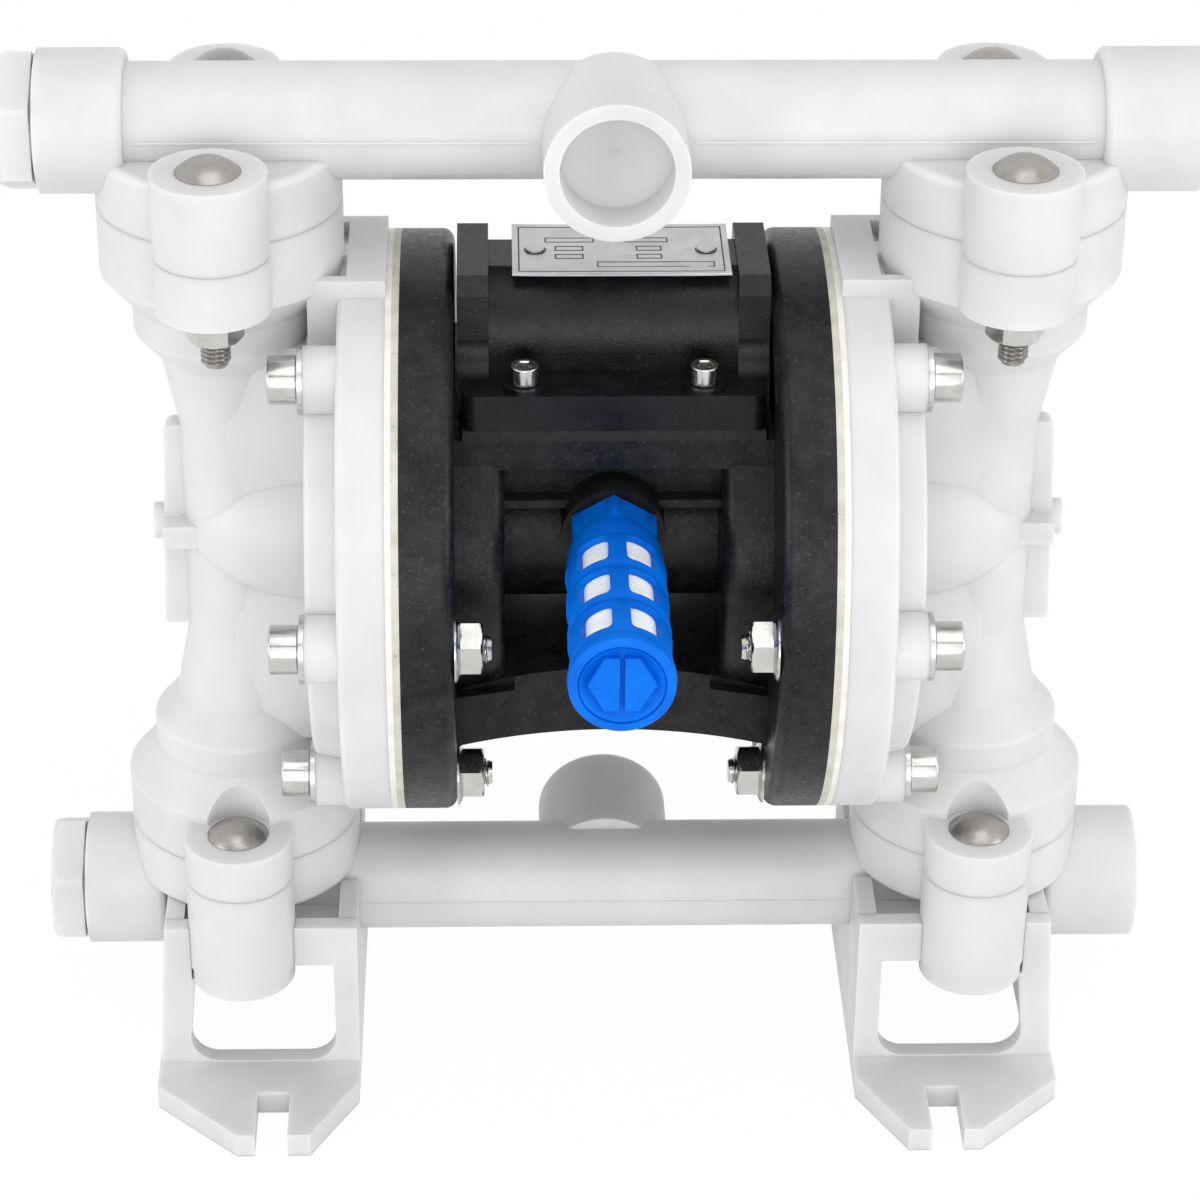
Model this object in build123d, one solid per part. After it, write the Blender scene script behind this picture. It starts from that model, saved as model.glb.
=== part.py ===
from build123d import *
import math
import os

# Air operated double diaphragm pump, in millimetres.
# X runs across the two pump chambers, Y from front to back and Z up. While a piece is
# modelled, Z is measured from the shaft axis; every piece is then lifted by AXIS_HEIGHT,
# so that the origin lies on the floor, in the middle between the four foot slots.

# Main layout
AXIS_HEIGHT = 124.0
PORT_X = 78.5
MANIFOLD_Z = 90.0
UPPER_JOINT_Z = 73.6
LOWER_JOINT_Z = 71.0
EAR_Y = 27.0

# Clearances: a close fit, a running fit, a loose gap and the room round a screw
CLOSE_FIT = 0.05
RUNNING_FIT = 0.06
LOOSE_GAP = 0.3
SCREW_ROOM = 0.3

# Stack from the shaft out to the bolt heads, along X on each side
DISC_FACE_X = 42.7
DISC_THICKNESS = 10.7
DISC_RADIUS = 60.6
BOLT_EDGE = 7.4
FOLD_EDGE = 9.7
FOLD_WIDTH = 15.0
RUBBER_THICKNESS = 1.5
PTFE_THICKNESS = 1.2
RIM_THICKNESS = 9.6
BOSS_HEIGHT = 6.6
PLATEAU_STEP = 11.6
PLATEAU_RADIUS = DISC_RADIUS - PLATEAU_STEP
BOSS_RADIUS = 6.8

# Chamber bolts, six on each side
BOLT_CIRCLE = DISC_RADIUS - BOLT_EDGE
BOLT_ANGLES = (30, 90, 150, 210, 270, 330)
BURIED_NUT_ANGLES = (30, 330)
BOLT_RADIUS = 3.0
BOLT_HEAD_RADIUS = 4.9
BOLT_HEAD_HEIGHT = 6.0
HEX_KEY_ACROSS = 5.0
HEX_KEY_DEPTH = 3.0
WASHER_RADIUS = 6.9
WASHER_THICKNESS = 1.0
NUT_ACROSS = 10.0
NUT_HEIGHT = 5.6
NUT_FLANGE_RADIUS = 6.8
NUT_FLANGE_THICKNESS = 1.2
THREAD_SHOWING = 1.7
BURIED_NUT_DEPTH = 6.4

# Centre body
DRUM_DEPTH = 10.0
DRUM_EDGE = 15.2
DRUM_RADIUS = BOLT_CIRCLE - DRUM_EDGE
DRUM_ROUND = 3.0
DISC_ROUND = 2.5
HUB_RADIUS = 16.0
FOLD_OUTER_RADIUS = BOLT_CIRCLE - FOLD_EDGE
FOLD_INNER_RADIUS = FOLD_OUTER_RADIUS - FOLD_WIDTH
RECESS_RADIUS = FOLD_OUTER_RADIUS
RECESS_FLOOR_RADIUS = FOLD_INNER_RADIUS + LOOSE_GAP
RECESS_DEPTH = 13.7
DECK_TOP_Z = 32.4
DECK_THICKNESS = 6.4
DECK_HALF_DEPTH = 27.0
DECK_GUSSET_DROP = 3.0
WEB_HALF_DEPTH = 20.0
WEB_BOTTOM_Z = 13.8
FIN_REACH = 3.5
FIN_THICKNESS = 1.8
FIN_TOP_Z = 17.0
ARCH_Y = 30.0
ARCH_THICKNESS = 4.0
ARCH_TOP_END_Z = -22.9
ARCH_TOP_MID_Z = -17.4
ARCH_BOTTOM_END_Z = -36.5
ARCH_BOTTOM_MID_Z = -32.3
ARCH_FLOOR = 4.0
ARCH_GUSSET_X = 20.0
ARCH_GUSSET_REACH = 3.0

# Air ports of the centre body, G 1/4
AIR_PORT_BORE = 5.72
AIR_PORT_DEPTH = 14.0
AIR_BOSS_RADIUS = 10.5
EXHAUST_Z = 11.2
EXHAUST_FACE_Y = -28.0
AIR_INLET_FACE_Y = 30.0
AIR_DUCT_RADIUS = 2.4
DUCT_X = 12.0
DUCT_Y = 6.0

# Shaft, bushes and seals
SHAFT_RADIUS = 7.0
SHAFT_HALF_LENGTH = 38.0
STROKE = 5.0
BUSH_RADIUS = 10.0
BUSH_LENGTH = 12.0
BUSH_FLANGE_RADIUS = 12.0
BUSH_FLANGE_THICKNESS = 2.0
SEAL_LENGTH = 3.0
STUD_RADIUS = 4.0
STUD_LENGTH = 15.0

# Diaphragm plates and diaphragms
PLATE_EDGE = 1.5
INNER_PLATE_RADIUS = FOLD_INNER_RADIUS - PLATE_EDGE
OUTER_PLATE_RADIUS = INNER_PLATE_RADIUS
OUTER_PLATE_THICKNESS = 4.6
PLATE_ROUND = 1.5
FOLD_RISE = 3.5

# Fluid chamber
CAVITY_DRAFT = 7.5
CAVITY_RADIUS = FOLD_OUTER_RADIUS
CAVITY_FLOOR_RADIUS = CAVITY_RADIUS - CAVITY_DRAFT
CHAMBER_WALL = 3.6
DOME_RADIUS = 16.8
DOME_LENGTH = 27.5
RIB_STAND = 2.8
RIB_LEAN = 1.8
RIB_HALF_HEIGHT = 23.4
RIB_THICKNESS = 5.0
LEVEL_RIB_HALF = 8.0
GATE_RADIUS = 3.8
GATE_STAND = 3.1
NECK_RADIUS = 10.2
NECK_START_Z = 23.5
NECK_WIDE_RADIUS = 13.4
NECK_WIDE_Z = 40.0
HOUSING_RADIUS = 18.5
HOUSING_START_Z = 46.0
HOUSING_END_Z = 52.3
FLANGE_RADIUS = 24.6
FLANGE_START_Z = 59.4
PASSAGE_RADIUS = 7.0
ELBOW_INNER_X = 56.0
ELBOW_TOP_HALF = 12.7
ELBOW_BOTTOM_HALF = 9.4
CAGE_RADIUS = 14.0
CAGE_END_Z = 46.5
BRACKET_STAND = 1.6
BRACKET_TOP_Z = DISC_RADIUS + BRACKET_STAND
BRACKET_HALF_WIDTH = 15.7
BRACKET_DEPTH = 15.6
BRACKET_HEIGHT = 14.0
POCKET_DEPTH = 5.0

# Ears and their bolts
EAR_RADIUS = 11.4
EAR_BRIDGE_HALF = 8.0
UPPER_CHAMBER_EAR = 11.6
LOWER_CHAMBER_EAR = 9.9
UPPER_MANIFOLD_EAR = 17.2
LOWER_MANIFOLD_EAR = 25.5
EAR_STEP = 3.7
EAR_STEP_DEPTH = 0.4
DOME_HEAD_RADIUS = 6.4
DOME_HEAD_HEIGHT = 3.1
OUTLET_BOLT_LENGTH = 41.0
INLET_BOLT_LENGTH = 34.5
PLAIN_NUT_HEIGHT = 5.0
FLANGE_WASHER_THICKNESS = 1.6
NUT_POCKET_DEPTH = 6.0
SPOT_RADIUS = 7.4
SPOT_DEPTH = 14.0

# Manifolds
TUBE_RADIUS = 11.7
TUBE_BORE = 8.5
COLLAR_RADIUS = 14.35
COLLAR_INNER_X = 96.0
PORT_END_X = 116.2
PLUG_END_X = 113.3
COLLAR_ROUND = 1.6
MANIFOLD_FLANGE = 12.4
FLANGE_ROUND = 1.5
PORT_THREAD_BORE = 9.315
PORT_THREAD_DEPTH = 16.0
BOSS_MOUTH_Y = 26.6
BOSS_OUTER_RADIUS = 14.3
BOSS_RECESS_RADIUS = 11.2
BOSS_RECESS_DEPTH = 9.0
BOSS_CONE_DEPTH = 3.0
STOP_RIB_HALF = 1.1
STOP_RIB_INNER = 5.2

# Blanking plugs
PLUG_HEX_RADIUS = 14.6
PLUG_HEAD_LENGTH = 7.0
PLUG_THREAD_LENGTH = 12.0
PLUG_ROUND = 1.0
PLUG_SEAL_RADIUS = 11.6
PLUG_SEAL_THICKNESS = 0.6

# Ball valves
BALL_RADIUS = 9.5
BALL_LIFT = 5.0
BALL_SIDE_ROOM = 0.6
SEAT_HEIGHT = 6.0
SEAT_BORE = 7.2
SEAT_CONE = 1.2
RING_SECTION = 1.5
GUIDE_RIB_HALF = 1.2

# Feet
TOE_THICKNESS = 5.5
FOOT_WALL = 4.0
FOOT_HALF_DEPTH = 30.0
LEG_INNER_X = 53.9
LEG_OUTER_TOP_X = 95.0
LEG_OUTER_X = 97.4
TOE_FRONT_Y = 56.0
TOE_KNEE_Y = 38.6
TOE_FRONT_IN_X = 63.9
TOE_FRONT_OUT_X = 79.5
SLOT_X = 72.2
SLOT_HALF_WIDTH = 3.5
SLOT_END_Y = 41.0
WINDOW_TOP_Z = -93.0
WINDOW_BOTTOM_Z = -118.2
WINDOW_INNER_X = 59.0
WINDOW_OUTER_TOP_X = 88.6
WINDOW_OUTER_X = 91.0
WINDOW_ROUND = 6.0

# Air valve
GASKET_THICKNESS = 2.2
VALVE_HALF_LENGTH = 30.3
VALVE_HALF_DEPTH = 27.0
VALVE_BASE_THICKNESS = 7.8
VALVE_AXIS_Z = 46.5
VALVE_BARREL_RADIUS = 15.6
VALVE_TOP_Z = 61.2
VALVE_FLANGE_X = 25.0
VALVE_FLANGE_END_X = 31.3
VALVE_FLANGE_TOP_Z = 62.0
VALVE_FLANGE_HALF = 12.4
SLEEVE_RADIUS = 10.0
SLEEVE_HALF_LENGTH = 24.6
SPOOL_RADIUS = 7.0
SPOOL_WAIST = 5.0
SPOOL_HALF_LENGTH = 19.0
SPOOL_TRAVEL = 5.0
LAND_WIDTH = 6.0
PLUG_DISC_RADIUS = 11.0
SCREW_HEAD_RADIUS = 2.85
SCREW_HEAD_HEIGHT = 3.9
SCREW_RADIUS = 1.75
SCREW_LENGTH = 13.0
SCREW_X = 17.9
SCREW_Y = 22.8
SCREW_WASHER_RADIUS = 4.3
SCREW_WASHER_THICKNESS = 1.0

# Name plate, left blank
PLATE_X = 1.7
PLATE_LENGTH = 43.8
PLATE_DEPTH = 23.8
PLATE_THICKNESS = 0.8
RIVET_SPACING = 34.5
RIVET_RADIUS = 1.5

# Exhaust silencer
SILENCER_HEX_ACROSS = 17.0
SILENCER_HEX_LENGTH = 8.0
SILENCER_RADIUS = 9.9
SILENCER_FACE_Y = -86.0
SILENCER_BORE = 7.4
SILENCER_RIM_RADIUS = 10.4
SILENCER_RIM_LENGTH = 2.5
SILENCER_FLOOR = 3.0
ROWS = 3
WINDOWS_PER_ROW = 8
ROW_PITCH = 13.4
WINDOW_LENGTH = 11.4
WINDOW_WIDTH = 5.6
FIRST_WINDOW_Y = -44.2
BULGE = 0.5
RING_RECESS_RADIUS = 8.4
RING_RECESS_WIDTH = 1.0
RING_RECESS_DEPTH = 1.0
DRIVER_HEX_RADIUS = 6.6
DRIVER_HEX_HEIGHT = 0.8
DRIVER_SLOT = 1.2
ELEMENT_WALL = 2.0

# Places worked out from the sizes above
RUBBER_X = DISC_FACE_X
PTFE_X = RUBBER_X + RUBBER_THICKNESS
RIM_X = PTFE_X + PTFE_THICKNESS
RIM_OUT_X = RIM_X + RIM_THICKNESS
BOSS_X = RIM_OUT_X + BOSS_HEIGHT
HEAD_X = BOSS_X + WASHER_THICKNESS
DISC_BACK_X = DISC_FACE_X - DISC_THICKNESS
DRUM_BACK_X = DISC_BACK_X - DRUM_DEPTH
RECESS_FLOOR_X = DISC_FACE_X - RECESS_DEPTH
DOME_TIP_X = BOSS_X + DOME_LENGTH
RIB_TOP_X = DOME_TIP_X + RIB_STAND
RIB_BOTTOM_X = RIB_TOP_X + RIB_LEAN
GATE_X = RIB_TOP_X + GATE_STAND
GASKET_TOP_Z = DECK_TOP_Z + GASKET_THICKNESS
VALVE_BASE_TOP_Z = GASKET_TOP_Z + VALVE_BASE_THICKNESS
EXHAUST_STEM_END_Y = EXHAUST_FACE_Y + AIR_PORT_DEPTH - 2.0
FOOT_TOP_Z = -LOWER_JOINT_Z - MANIFOLD_FLANGE
DUCT_PLACES = [(-DUCT_X, 0), (DUCT_X, 0), (0, -DUCT_Y), (0, DUCT_Y)]
SCREW_PLACES = [(x, y) for x in (-SCREW_X, SCREW_X) for y in (-SCREW_Y, SCREW_Y)]
EAR_PLACES = [(x, y) for x in (-PORT_X, PORT_X) for y in (-EAR_Y, EAR_Y)]
BALL_SEAT_RISE = math.sqrt((BALL_RADIUS + LOOSE_GAP) ** 2 - SEAT_BORE ** 2)
HEX_CORNER = 1 / math.cos(math.radians(30))


def along_x(radius, start, end, y=0.0, z=0.0):
    """A round bar parallel to X."""
    return Pos((start + end) / 2, y, z) * Rot(0, 90, 0) * Cylinder(radius, end - start)


def along_y(radius, start, end, x=0.0, z=0.0):
    """A round bar parallel to Y."""
    return Pos(x, (start + end) / 2, z) * Rot(90, 0, 0) * Cylinder(radius, end - start)


def along_z(radius, start, end, x=0.0, y=0.0):
    """A round bar parallel to Z."""
    return Pos(x, y, (start + end) / 2) * Cylinder(radius, end - start)


def block(x0, x1, y0, y1, z0, z1):
    """A plain block between two corners."""
    middle = Pos((x0 + x1) / 2, (y0 + y1) / 2, (z0 + z1) / 2)
    return middle * Box(x1 - x0, y1 - y0, z1 - z0)


def outline(points, rounds=()):
    """A flat face in XY from corner points, with some corners rounded: (corner number, radius)."""
    face = make_face(Polyline(*points, close=True))
    for number, radius in rounds:
        target = Vector(*points[number])
        corner = min(face.vertices(), key=lambda v: (Vector(v) - target).length)
        face = fillet(corner, radius)
    return face


def turned_x(points, rounds=()):
    """A turned piece about X, from (x, radius) points."""
    return revolve(outline(points, rounds), Axis.X, 360)


def turned_y(points, rounds=()):
    """A turned piece about Y, from (radius, y) points."""
    return revolve(outline(points, rounds), Axis.Y, 360)


def turned_z(points, rounds=()):
    """A turned piece about Z, from (radius, z) points."""
    return Rot(90, 0, 0) * revolve(outline(points, rounds), Axis.Y, 360)


def hex_bar(across, length):
    """A hexagonal bar along Z from z = 0, with its corners left and right."""
    return extrude(RegularPolygon(across / 2 * HEX_CORNER, 6), length)


def hex_along_x(across, start, end, y, z):
    """A hexagonal bar parallel to X."""
    return Pos(start, y, z) * Rot(0, 90, 0) * hex_bar(across, end - start)


def mirrored(piece):
    """The same piece on the left-hand side."""
    return mirror(piece, about=Plane.YZ)


def bolt_place(angle):
    """Where a chamber bolt stands, as (y, z)."""
    turn = math.radians(angle)
    return BOLT_CIRCLE * math.sin(turn), BOLT_CIRCLE * math.cos(turn)


# Centre body


def body_half():
    """The disc, the drum behind it and the hub, on the right-hand side."""
    disc = turned_x(
        [(DISC_BACK_X, 0), (DISC_BACK_X, DISC_RADIUS), (DISC_FACE_X, DISC_RADIUS), (DISC_FACE_X, 0)],
        [(1, DISC_ROUND)],
    )
    drum = turned_x(
        [(DRUM_BACK_X, 0), (DRUM_BACK_X, DRUM_RADIUS), (DISC_BACK_X, DRUM_RADIUS), (DISC_BACK_X, 0)],
        [(1, DRUM_ROUND)],
    )
    return disc + drum + along_x(HUB_RADIUS, 0, DRUM_BACK_X)


def air_recess():
    """The air side hollow behind the right-hand diaphragm."""
    mouth_x = DISC_FACE_X
    return turned_x(
        [
            (RECESS_FLOOR_X, 0),
            (RECESS_FLOOR_X, RECESS_FLOOR_RADIUS),
            (DISC_BACK_X + 2.0, RECESS_FLOOR_RADIUS + 0.5),
            (mouth_x - 2.0, RECESS_RADIUS - 1.0),
            (mouth_x, RECESS_RADIUS),
            (mouth_x, 0),
        ]
    )


def arch_band(top_end_z, top_mid_z, bottom_end_z, bottom_mid_z, depth):
    """A slab between two arcs from disc to disc, depth deep from y = 0 forward."""
    end_x = DISC_BACK_X + 1.0
    upper = ThreePointArc((-end_x, top_end_z), (0, top_mid_z), (end_x, top_end_z))
    right = Line((end_x, top_end_z), (end_x, bottom_end_z))
    lower = ThreePointArc((end_x, bottom_end_z), (0, bottom_mid_z), (-end_x, bottom_end_z))
    left = Line((-end_x, bottom_end_z), (-end_x, top_end_z))
    return extrude(Plane.XZ * make_face([upper, right, lower, left]), depth)


def arch():
    """The front half of the curved tie under the hub: its floor, deep front lip and two gussets."""
    floor_end_z = ARCH_TOP_END_Z - ARCH_FLOOR
    floor_mid_z = ARCH_TOP_MID_Z - ARCH_FLOOR
    front = ARCH_Y + ARCH_THICKNESS / 2
    tie = arch_band(ARCH_TOP_END_Z, ARCH_TOP_MID_Z, floor_end_z, floor_mid_z, front)
    lip = arch_band(ARCH_TOP_END_Z, ARCH_TOP_MID_Z, ARCH_BOTTOM_END_Z, ARCH_BOTTOM_MID_Z, ARCH_THICKNESS)
    tie += Pos(0, -ARCH_Y + ARCH_THICKNESS / 2, 0) * lip
    end_x = DISC_BACK_X + 1.0
    wedge = outline([(end_x, ARCH_TOP_END_Z), (ARCH_GUSSET_X, ARCH_TOP_END_Z + 2.0), (end_x, ARCH_BOTTOM_END_Z)])
    gusset = Pos(0, -ARCH_Y, 0) * extrude(Plane.XZ * wedge, ARCH_THICKNESS / 2 + ARCH_GUSSET_REACH)
    return tie + gusset + mirrored(gusset)


def deck():
    """The flat seat of the air valve, with gussets down to the discs and webs below."""
    end_x = DISC_BACK_X + 0.5
    bottom = DECK_TOP_Z - DECK_THICKNESS
    gusset_x = DRUM_BACK_X
    face = Plane.XZ * outline(
        [
            (-end_x, DECK_TOP_Z),
            (-end_x, bottom - DECK_GUSSET_DROP),
            (-gusset_x, bottom),
            (gusset_x, bottom),
            (end_x, bottom - DECK_GUSSET_DROP),
            (end_x, DECK_TOP_Z),
        ]
    )
    plate = Pos(0, DECK_HALF_DEPTH, 0) * extrude(face, 2 * DECK_HALF_DEPTH)
    web = block(-gusset_x - 1, gusset_x + 1, -WEB_HALF_DEPTH, WEB_HALF_DEPTH, WEB_BOTTOM_Z, bottom + 1)
    fin_y = WEB_HALF_DEPTH + FIN_REACH
    fin = block(-gusset_x - 1, gusset_x + 1, -fin_y, fin_y, FIN_TOP_Z - FIN_THICKNESS, FIN_TOP_Z)
    return plate + web + fin


def air_ducts():
    """The drilled ways from the valve seat to the exhaust, the inlet and both air recesses."""
    duct = along_z(AIR_DUCT_RADIUS, EXHAUST_Z, DECK_TOP_Z, 0, -DUCT_Y)
    duct += along_z(AIR_DUCT_RADIUS, EXHAUST_Z, DECK_TOP_Z, 0, DUCT_Y)
    duct += along_y(AIR_DUCT_RADIUS, EXHAUST_FACE_Y + AIR_PORT_DEPTH, -DUCT_Y, 0, EXHAUST_Z)
    duct += along_y(AIR_DUCT_RADIUS, DUCT_Y, AIR_INLET_FACE_Y - AIR_PORT_DEPTH, 0, EXHAUST_Z)
    turn_z = (HUB_RADIUS + DECK_TOP_Z - DECK_THICKNESS) / 2
    for side in (-1, 1):
        duct += along_z(AIR_DUCT_RADIUS, turn_z, DECK_TOP_Z, side * DUCT_X, 0)
        ends = sorted((side * DUCT_X, side * (RECESS_FLOOR_X + 1)))
        duct += along_x(AIR_DUCT_RADIUS, ends[0], ends[1], 0, turn_z)
    return duct


def bush_bore():
    """The stepped hole that takes shaft, bush and seal, on the right-hand side."""
    seal_start = RECESS_FLOOR_X - BUSH_FLANGE_THICKNESS - SEAL_LENGTH
    bush_start = seal_start - BUSH_LENGTH
    hole = along_x(SHAFT_RADIUS + LOOSE_GAP, 0, RECESS_FLOOR_X)
    hole += along_x(BUSH_RADIUS + CLOSE_FIT, bush_start, RECESS_FLOOR_X)
    hole += along_x(BUSH_FLANGE_RADIUS + CLOSE_FIT, seal_start + SEAL_LENGTH, RECESS_FLOOR_X)
    return hole


def center_body():
    half = body_half()
    body = half + mirrored(half)
    body -= block(-DISC_BACK_X, DISC_BACK_X, -DRUM_RADIUS, DRUM_RADIUS, DECK_TOP_Z, DISC_RADIUS)
    body += deck() + arch() + mirror(arch(), about=Plane.XZ)
    body += along_y(AIR_BOSS_RADIUS, EXHAUST_FACE_Y, -HUB_RADIUS / 2, 0, EXHAUST_Z)
    body += along_y(AIR_BOSS_RADIUS, HUB_RADIUS / 2, AIR_INLET_FACE_Y, 0, EXHAUST_Z)
    body -= along_y(AIR_PORT_BORE, EXHAUST_FACE_Y, EXHAUST_FACE_Y + AIR_PORT_DEPTH, 0, EXHAUST_Z)
    body -= along_y(AIR_PORT_BORE, AIR_INLET_FACE_Y - AIR_PORT_DEPTH, AIR_INLET_FACE_Y, 0, EXHAUST_Z)
    hollow = air_recess() + bush_bore()
    for angle in BOLT_ANGLES:
        y, z = bolt_place(angle)
        hollow += along_x(BOLT_RADIUS + SCREW_ROOM, DISC_BACK_X - 1, DISC_FACE_X, y, z)
        if angle in BURIED_NUT_ANGLES:
            pocket_end = DISC_BACK_X + BURIED_NUT_DEPTH
            hollow += hex_along_x(NUT_ACROSS + 2 * CLOSE_FIT, DISC_BACK_X - 1, pocket_end, y, z)
    body = body - hollow - mirrored(hollow) - air_ducts()
    screw_depth = SCREW_LENGTH - (VALVE_BASE_TOP_Z + SCREW_WASHER_THICKNESS - DECK_TOP_Z) + 1
    for x, y in SCREW_PLACES:
        body -= along_z(SCREW_RADIUS + CLOSE_FIT, DECK_TOP_Z - screw_depth, DECK_TOP_Z, x, y)
    return body


# Shaft and its guides


def diaphragm_shaft():
    shaft = turned_x(
        [(-SHAFT_HALF_LENGTH, 0), (-SHAFT_HALF_LENGTH, SHAFT_RADIUS),
         (SHAFT_HALF_LENGTH, SHAFT_RADIUS), (SHAFT_HALF_LENGTH, 0)],
    )
    for start in (-SHAFT_HALF_LENGTH, SHAFT_HALF_LENGTH - STUD_LENGTH):
        shaft -= along_x(STUD_RADIUS + CLOSE_FIT, start, start + STUD_LENGTH)
    return shaft


def shaft_bush():
    """A flanged plain bush; its flange closes the stepped hole."""
    flange_start = RECESS_FLOOR_X - BUSH_FLANGE_THICKNESS
    bush_start = flange_start - SEAL_LENGTH - BUSH_LENGTH
    bush = along_x(BUSH_RADIUS, bush_start, flange_start)
    bush += along_x(BUSH_FLANGE_RADIUS, flange_start, RECESS_FLOOR_X)
    bush -= along_x(SHAFT_RADIUS + RUNNING_FIT, bush_start, RECESS_FLOOR_X)
    return bush - along_x(SHAFT_RADIUS + RING_SECTION, flange_start - SEAL_LENGTH, flange_start)


def shaft_seal():
    """The lip ring that sits in the bush's inner groove."""
    end = RECESS_FLOOR_X - BUSH_FLANGE_THICKNESS
    start = end - SEAL_LENGTH
    ring = along_x(SHAFT_RADIUS + RING_SECTION - CLOSE_FIT, start, end)
    return ring - along_x(SHAFT_RADIUS + RUNNING_FIT, start, end)


def inner_plate():
    """The metal plate on the air side of the diaphragms."""
    back_x = SHAFT_HALF_LENGTH
    plate = turned_x(
        [(back_x, 0), (back_x, INNER_PLATE_RADIUS), (RUBBER_X, INNER_PLATE_RADIUS), (RUBBER_X, 0)],
        [(1, PLATE_ROUND), (2, PLATE_ROUND)],
    )
    return plate - along_x(STUD_RADIUS + CLOSE_FIT, back_x, RUBBER_X)


def outer_plate():
    """The plate on the liquid side, with the stud that clamps the stack to the shaft."""
    face_x = RIM_X + OUTER_PLATE_THICKNESS
    plate = turned_x(
        [(RIM_X, 0), (RIM_X, OUTER_PLATE_RADIUS), (face_x, OUTER_PLATE_RADIUS - 4), (face_x, 0)],
        [(1, PLATE_ROUND), (2, PLATE_ROUND)],
    )
    stud_start = SHAFT_HALF_LENGTH - STUD_LENGTH + 1
    return plate + along_x(STUD_RADIUS, stud_start, RIM_X)


def diaphragm(start_x, thickness, rise):
    """A clamped diaphragm: flat middle, one round fold and a flat rim with six bolt holes."""
    end_x = start_x + thickness
    middle = (FOLD_INNER_RADIUS + FOLD_OUTER_RADIUS) / 2
    hole = STUD_RADIUS + CLOSE_FIT
    edges = Polyline((start_x, FOLD_INNER_RADIUS), (start_x, hole), (end_x, hole), (end_x, FOLD_INNER_RADIUS))
    edges += ThreePointArc((end_x, FOLD_INNER_RADIUS), (end_x + rise, middle), (end_x, FOLD_OUTER_RADIUS))
    edges += Polyline(
        (end_x, FOLD_OUTER_RADIUS), (end_x, DISC_RADIUS), (start_x, DISC_RADIUS), (start_x, FOLD_OUTER_RADIUS)
    )
    edges += ThreePointArc(
        (start_x, FOLD_OUTER_RADIUS), (start_x + rise, middle), (start_x, FOLD_INNER_RADIUS)
    )
    sheet = revolve(make_face(edges), Axis.X, 360)
    for angle in BOLT_ANGLES:
        sheet -= along_x(BOLT_RADIUS + SCREW_ROOM, start_x, end_x, *bolt_place(angle))
    return sheet


# Fluid chamber


def neck(joint_z):
    """The turned riser from the elbow to the port flange, for the upper side."""
    return Pos(PORT_X, 0, 0) * turned_z(
        [
            (0, 0),
            (NECK_RADIUS, 0),
            (NECK_RADIUS, NECK_START_Z),
            (NECK_WIDE_RADIUS, NECK_WIDE_Z),
            (HOUSING_RADIUS, HOUSING_START_Z),
            (HOUSING_RADIUS, HOUSING_END_Z),
            (FLANGE_RADIUS, FLANGE_START_Z),
            (FLANGE_RADIUS, joint_z),
            (0, joint_z),
        ],
        [(4, FLANGE_ROUND), (3, FLANGE_ROUND)],
    )


def elbow():
    """The flat-sided web that joins the upper riser to the chamber."""
    length = PORT_X - ELBOW_INNER_X
    middle_x = (PORT_X + ELBOW_INNER_X) / 2
    low = Pos(middle_x, 0, DOME_RADIUS / 2) * Rectangle(length, 2 * ELBOW_BOTTOM_HALF)
    high = Pos(middle_x, 0, HOUSING_START_Z) * Rectangle(length, 2 * ELBOW_TOP_HALF)
    return loft([low, high])


def ears(outer_z, joint_z):
    """Two bolt ears and the bridge between them."""
    low, high = sorted((outer_z, joint_z))
    lugs = block(PORT_X - EAR_BRIDGE_HALF, PORT_X + EAR_BRIDGE_HALF, -EAR_Y, EAR_Y, low, high)
    for y in (-EAR_Y, EAR_Y):
        lugs += along_z(EAR_RADIUS, low, high, PORT_X, y)
    return lugs


def ear_holes(low, high):
    """Clearance holes for the right-hand pair of flange bolts."""
    room = BOLT_RADIUS + SCREW_ROOM
    return along_z(room, low, high, PORT_X, -EAR_Y) + along_z(room, low, high, PORT_X, EAR_Y)


def spot_faces():
    """Room for the nuts under the upper ears and the bolt heads on the lower ones."""
    upper = UPPER_JOINT_Z - UPPER_CHAMBER_EAR
    lower = -LOWER_JOINT_Z + LOWER_CHAMBER_EAR
    room = None
    for y in (-EAR_Y, EAR_Y):
        cut = along_z(SPOT_RADIUS, upper - SPOT_DEPTH, upper, PORT_X, y)
        cut += along_z(SPOT_RADIUS, lower, lower + SPOT_DEPTH, PORT_X, y)
        room = cut if room is None else room + cut
    return room


def dome():
    """The rounded hub over the elbow, half an ellipse turned about X."""
    ellipse = Pos(BOSS_X, 0) * Ellipse(DOME_LENGTH, DOME_RADIUS)
    quarter = ellipse & Pos(BOSS_X + DOME_LENGTH / 2, DOME_RADIUS / 2) * Rectangle(DOME_LENGTH, DOME_RADIUS)
    base = along_x(DOME_RADIUS, RIM_OUT_X, BOSS_X)
    ribs_face = outline(
        [
            (DOME_TIP_X - DOME_LENGTH / 2, RIB_HALF_HEIGHT),
            (RIB_TOP_X, RIB_HALF_HEIGHT),
            (RIB_BOTTOM_X, -RIB_HALF_HEIGHT),
            (DOME_TIP_X - DOME_LENGTH / 2, -RIB_HALF_HEIGHT),
        ],
        [(1, 2.0), (2, 1.0)],
    )
    upright = Pos(0, RIB_THICKNESS / 2, 0) * extrude(Plane.XZ * ribs_face, RIB_THICKNESS)
    level = block(
        DOME_TIP_X - DOME_LENGTH / 2, (RIB_TOP_X + RIB_BOTTOM_X) / 2,
        -LEVEL_RIB_HALF, LEVEL_RIB_HALF, -RIB_THICKNESS / 2, RIB_THICKNESS / 2,
    )
    gate = along_x(GATE_RADIUS, DOME_TIP_X, GATE_X)
    return base + revolve(quarter, Axis.X, 360) + upright + level + gate


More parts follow.
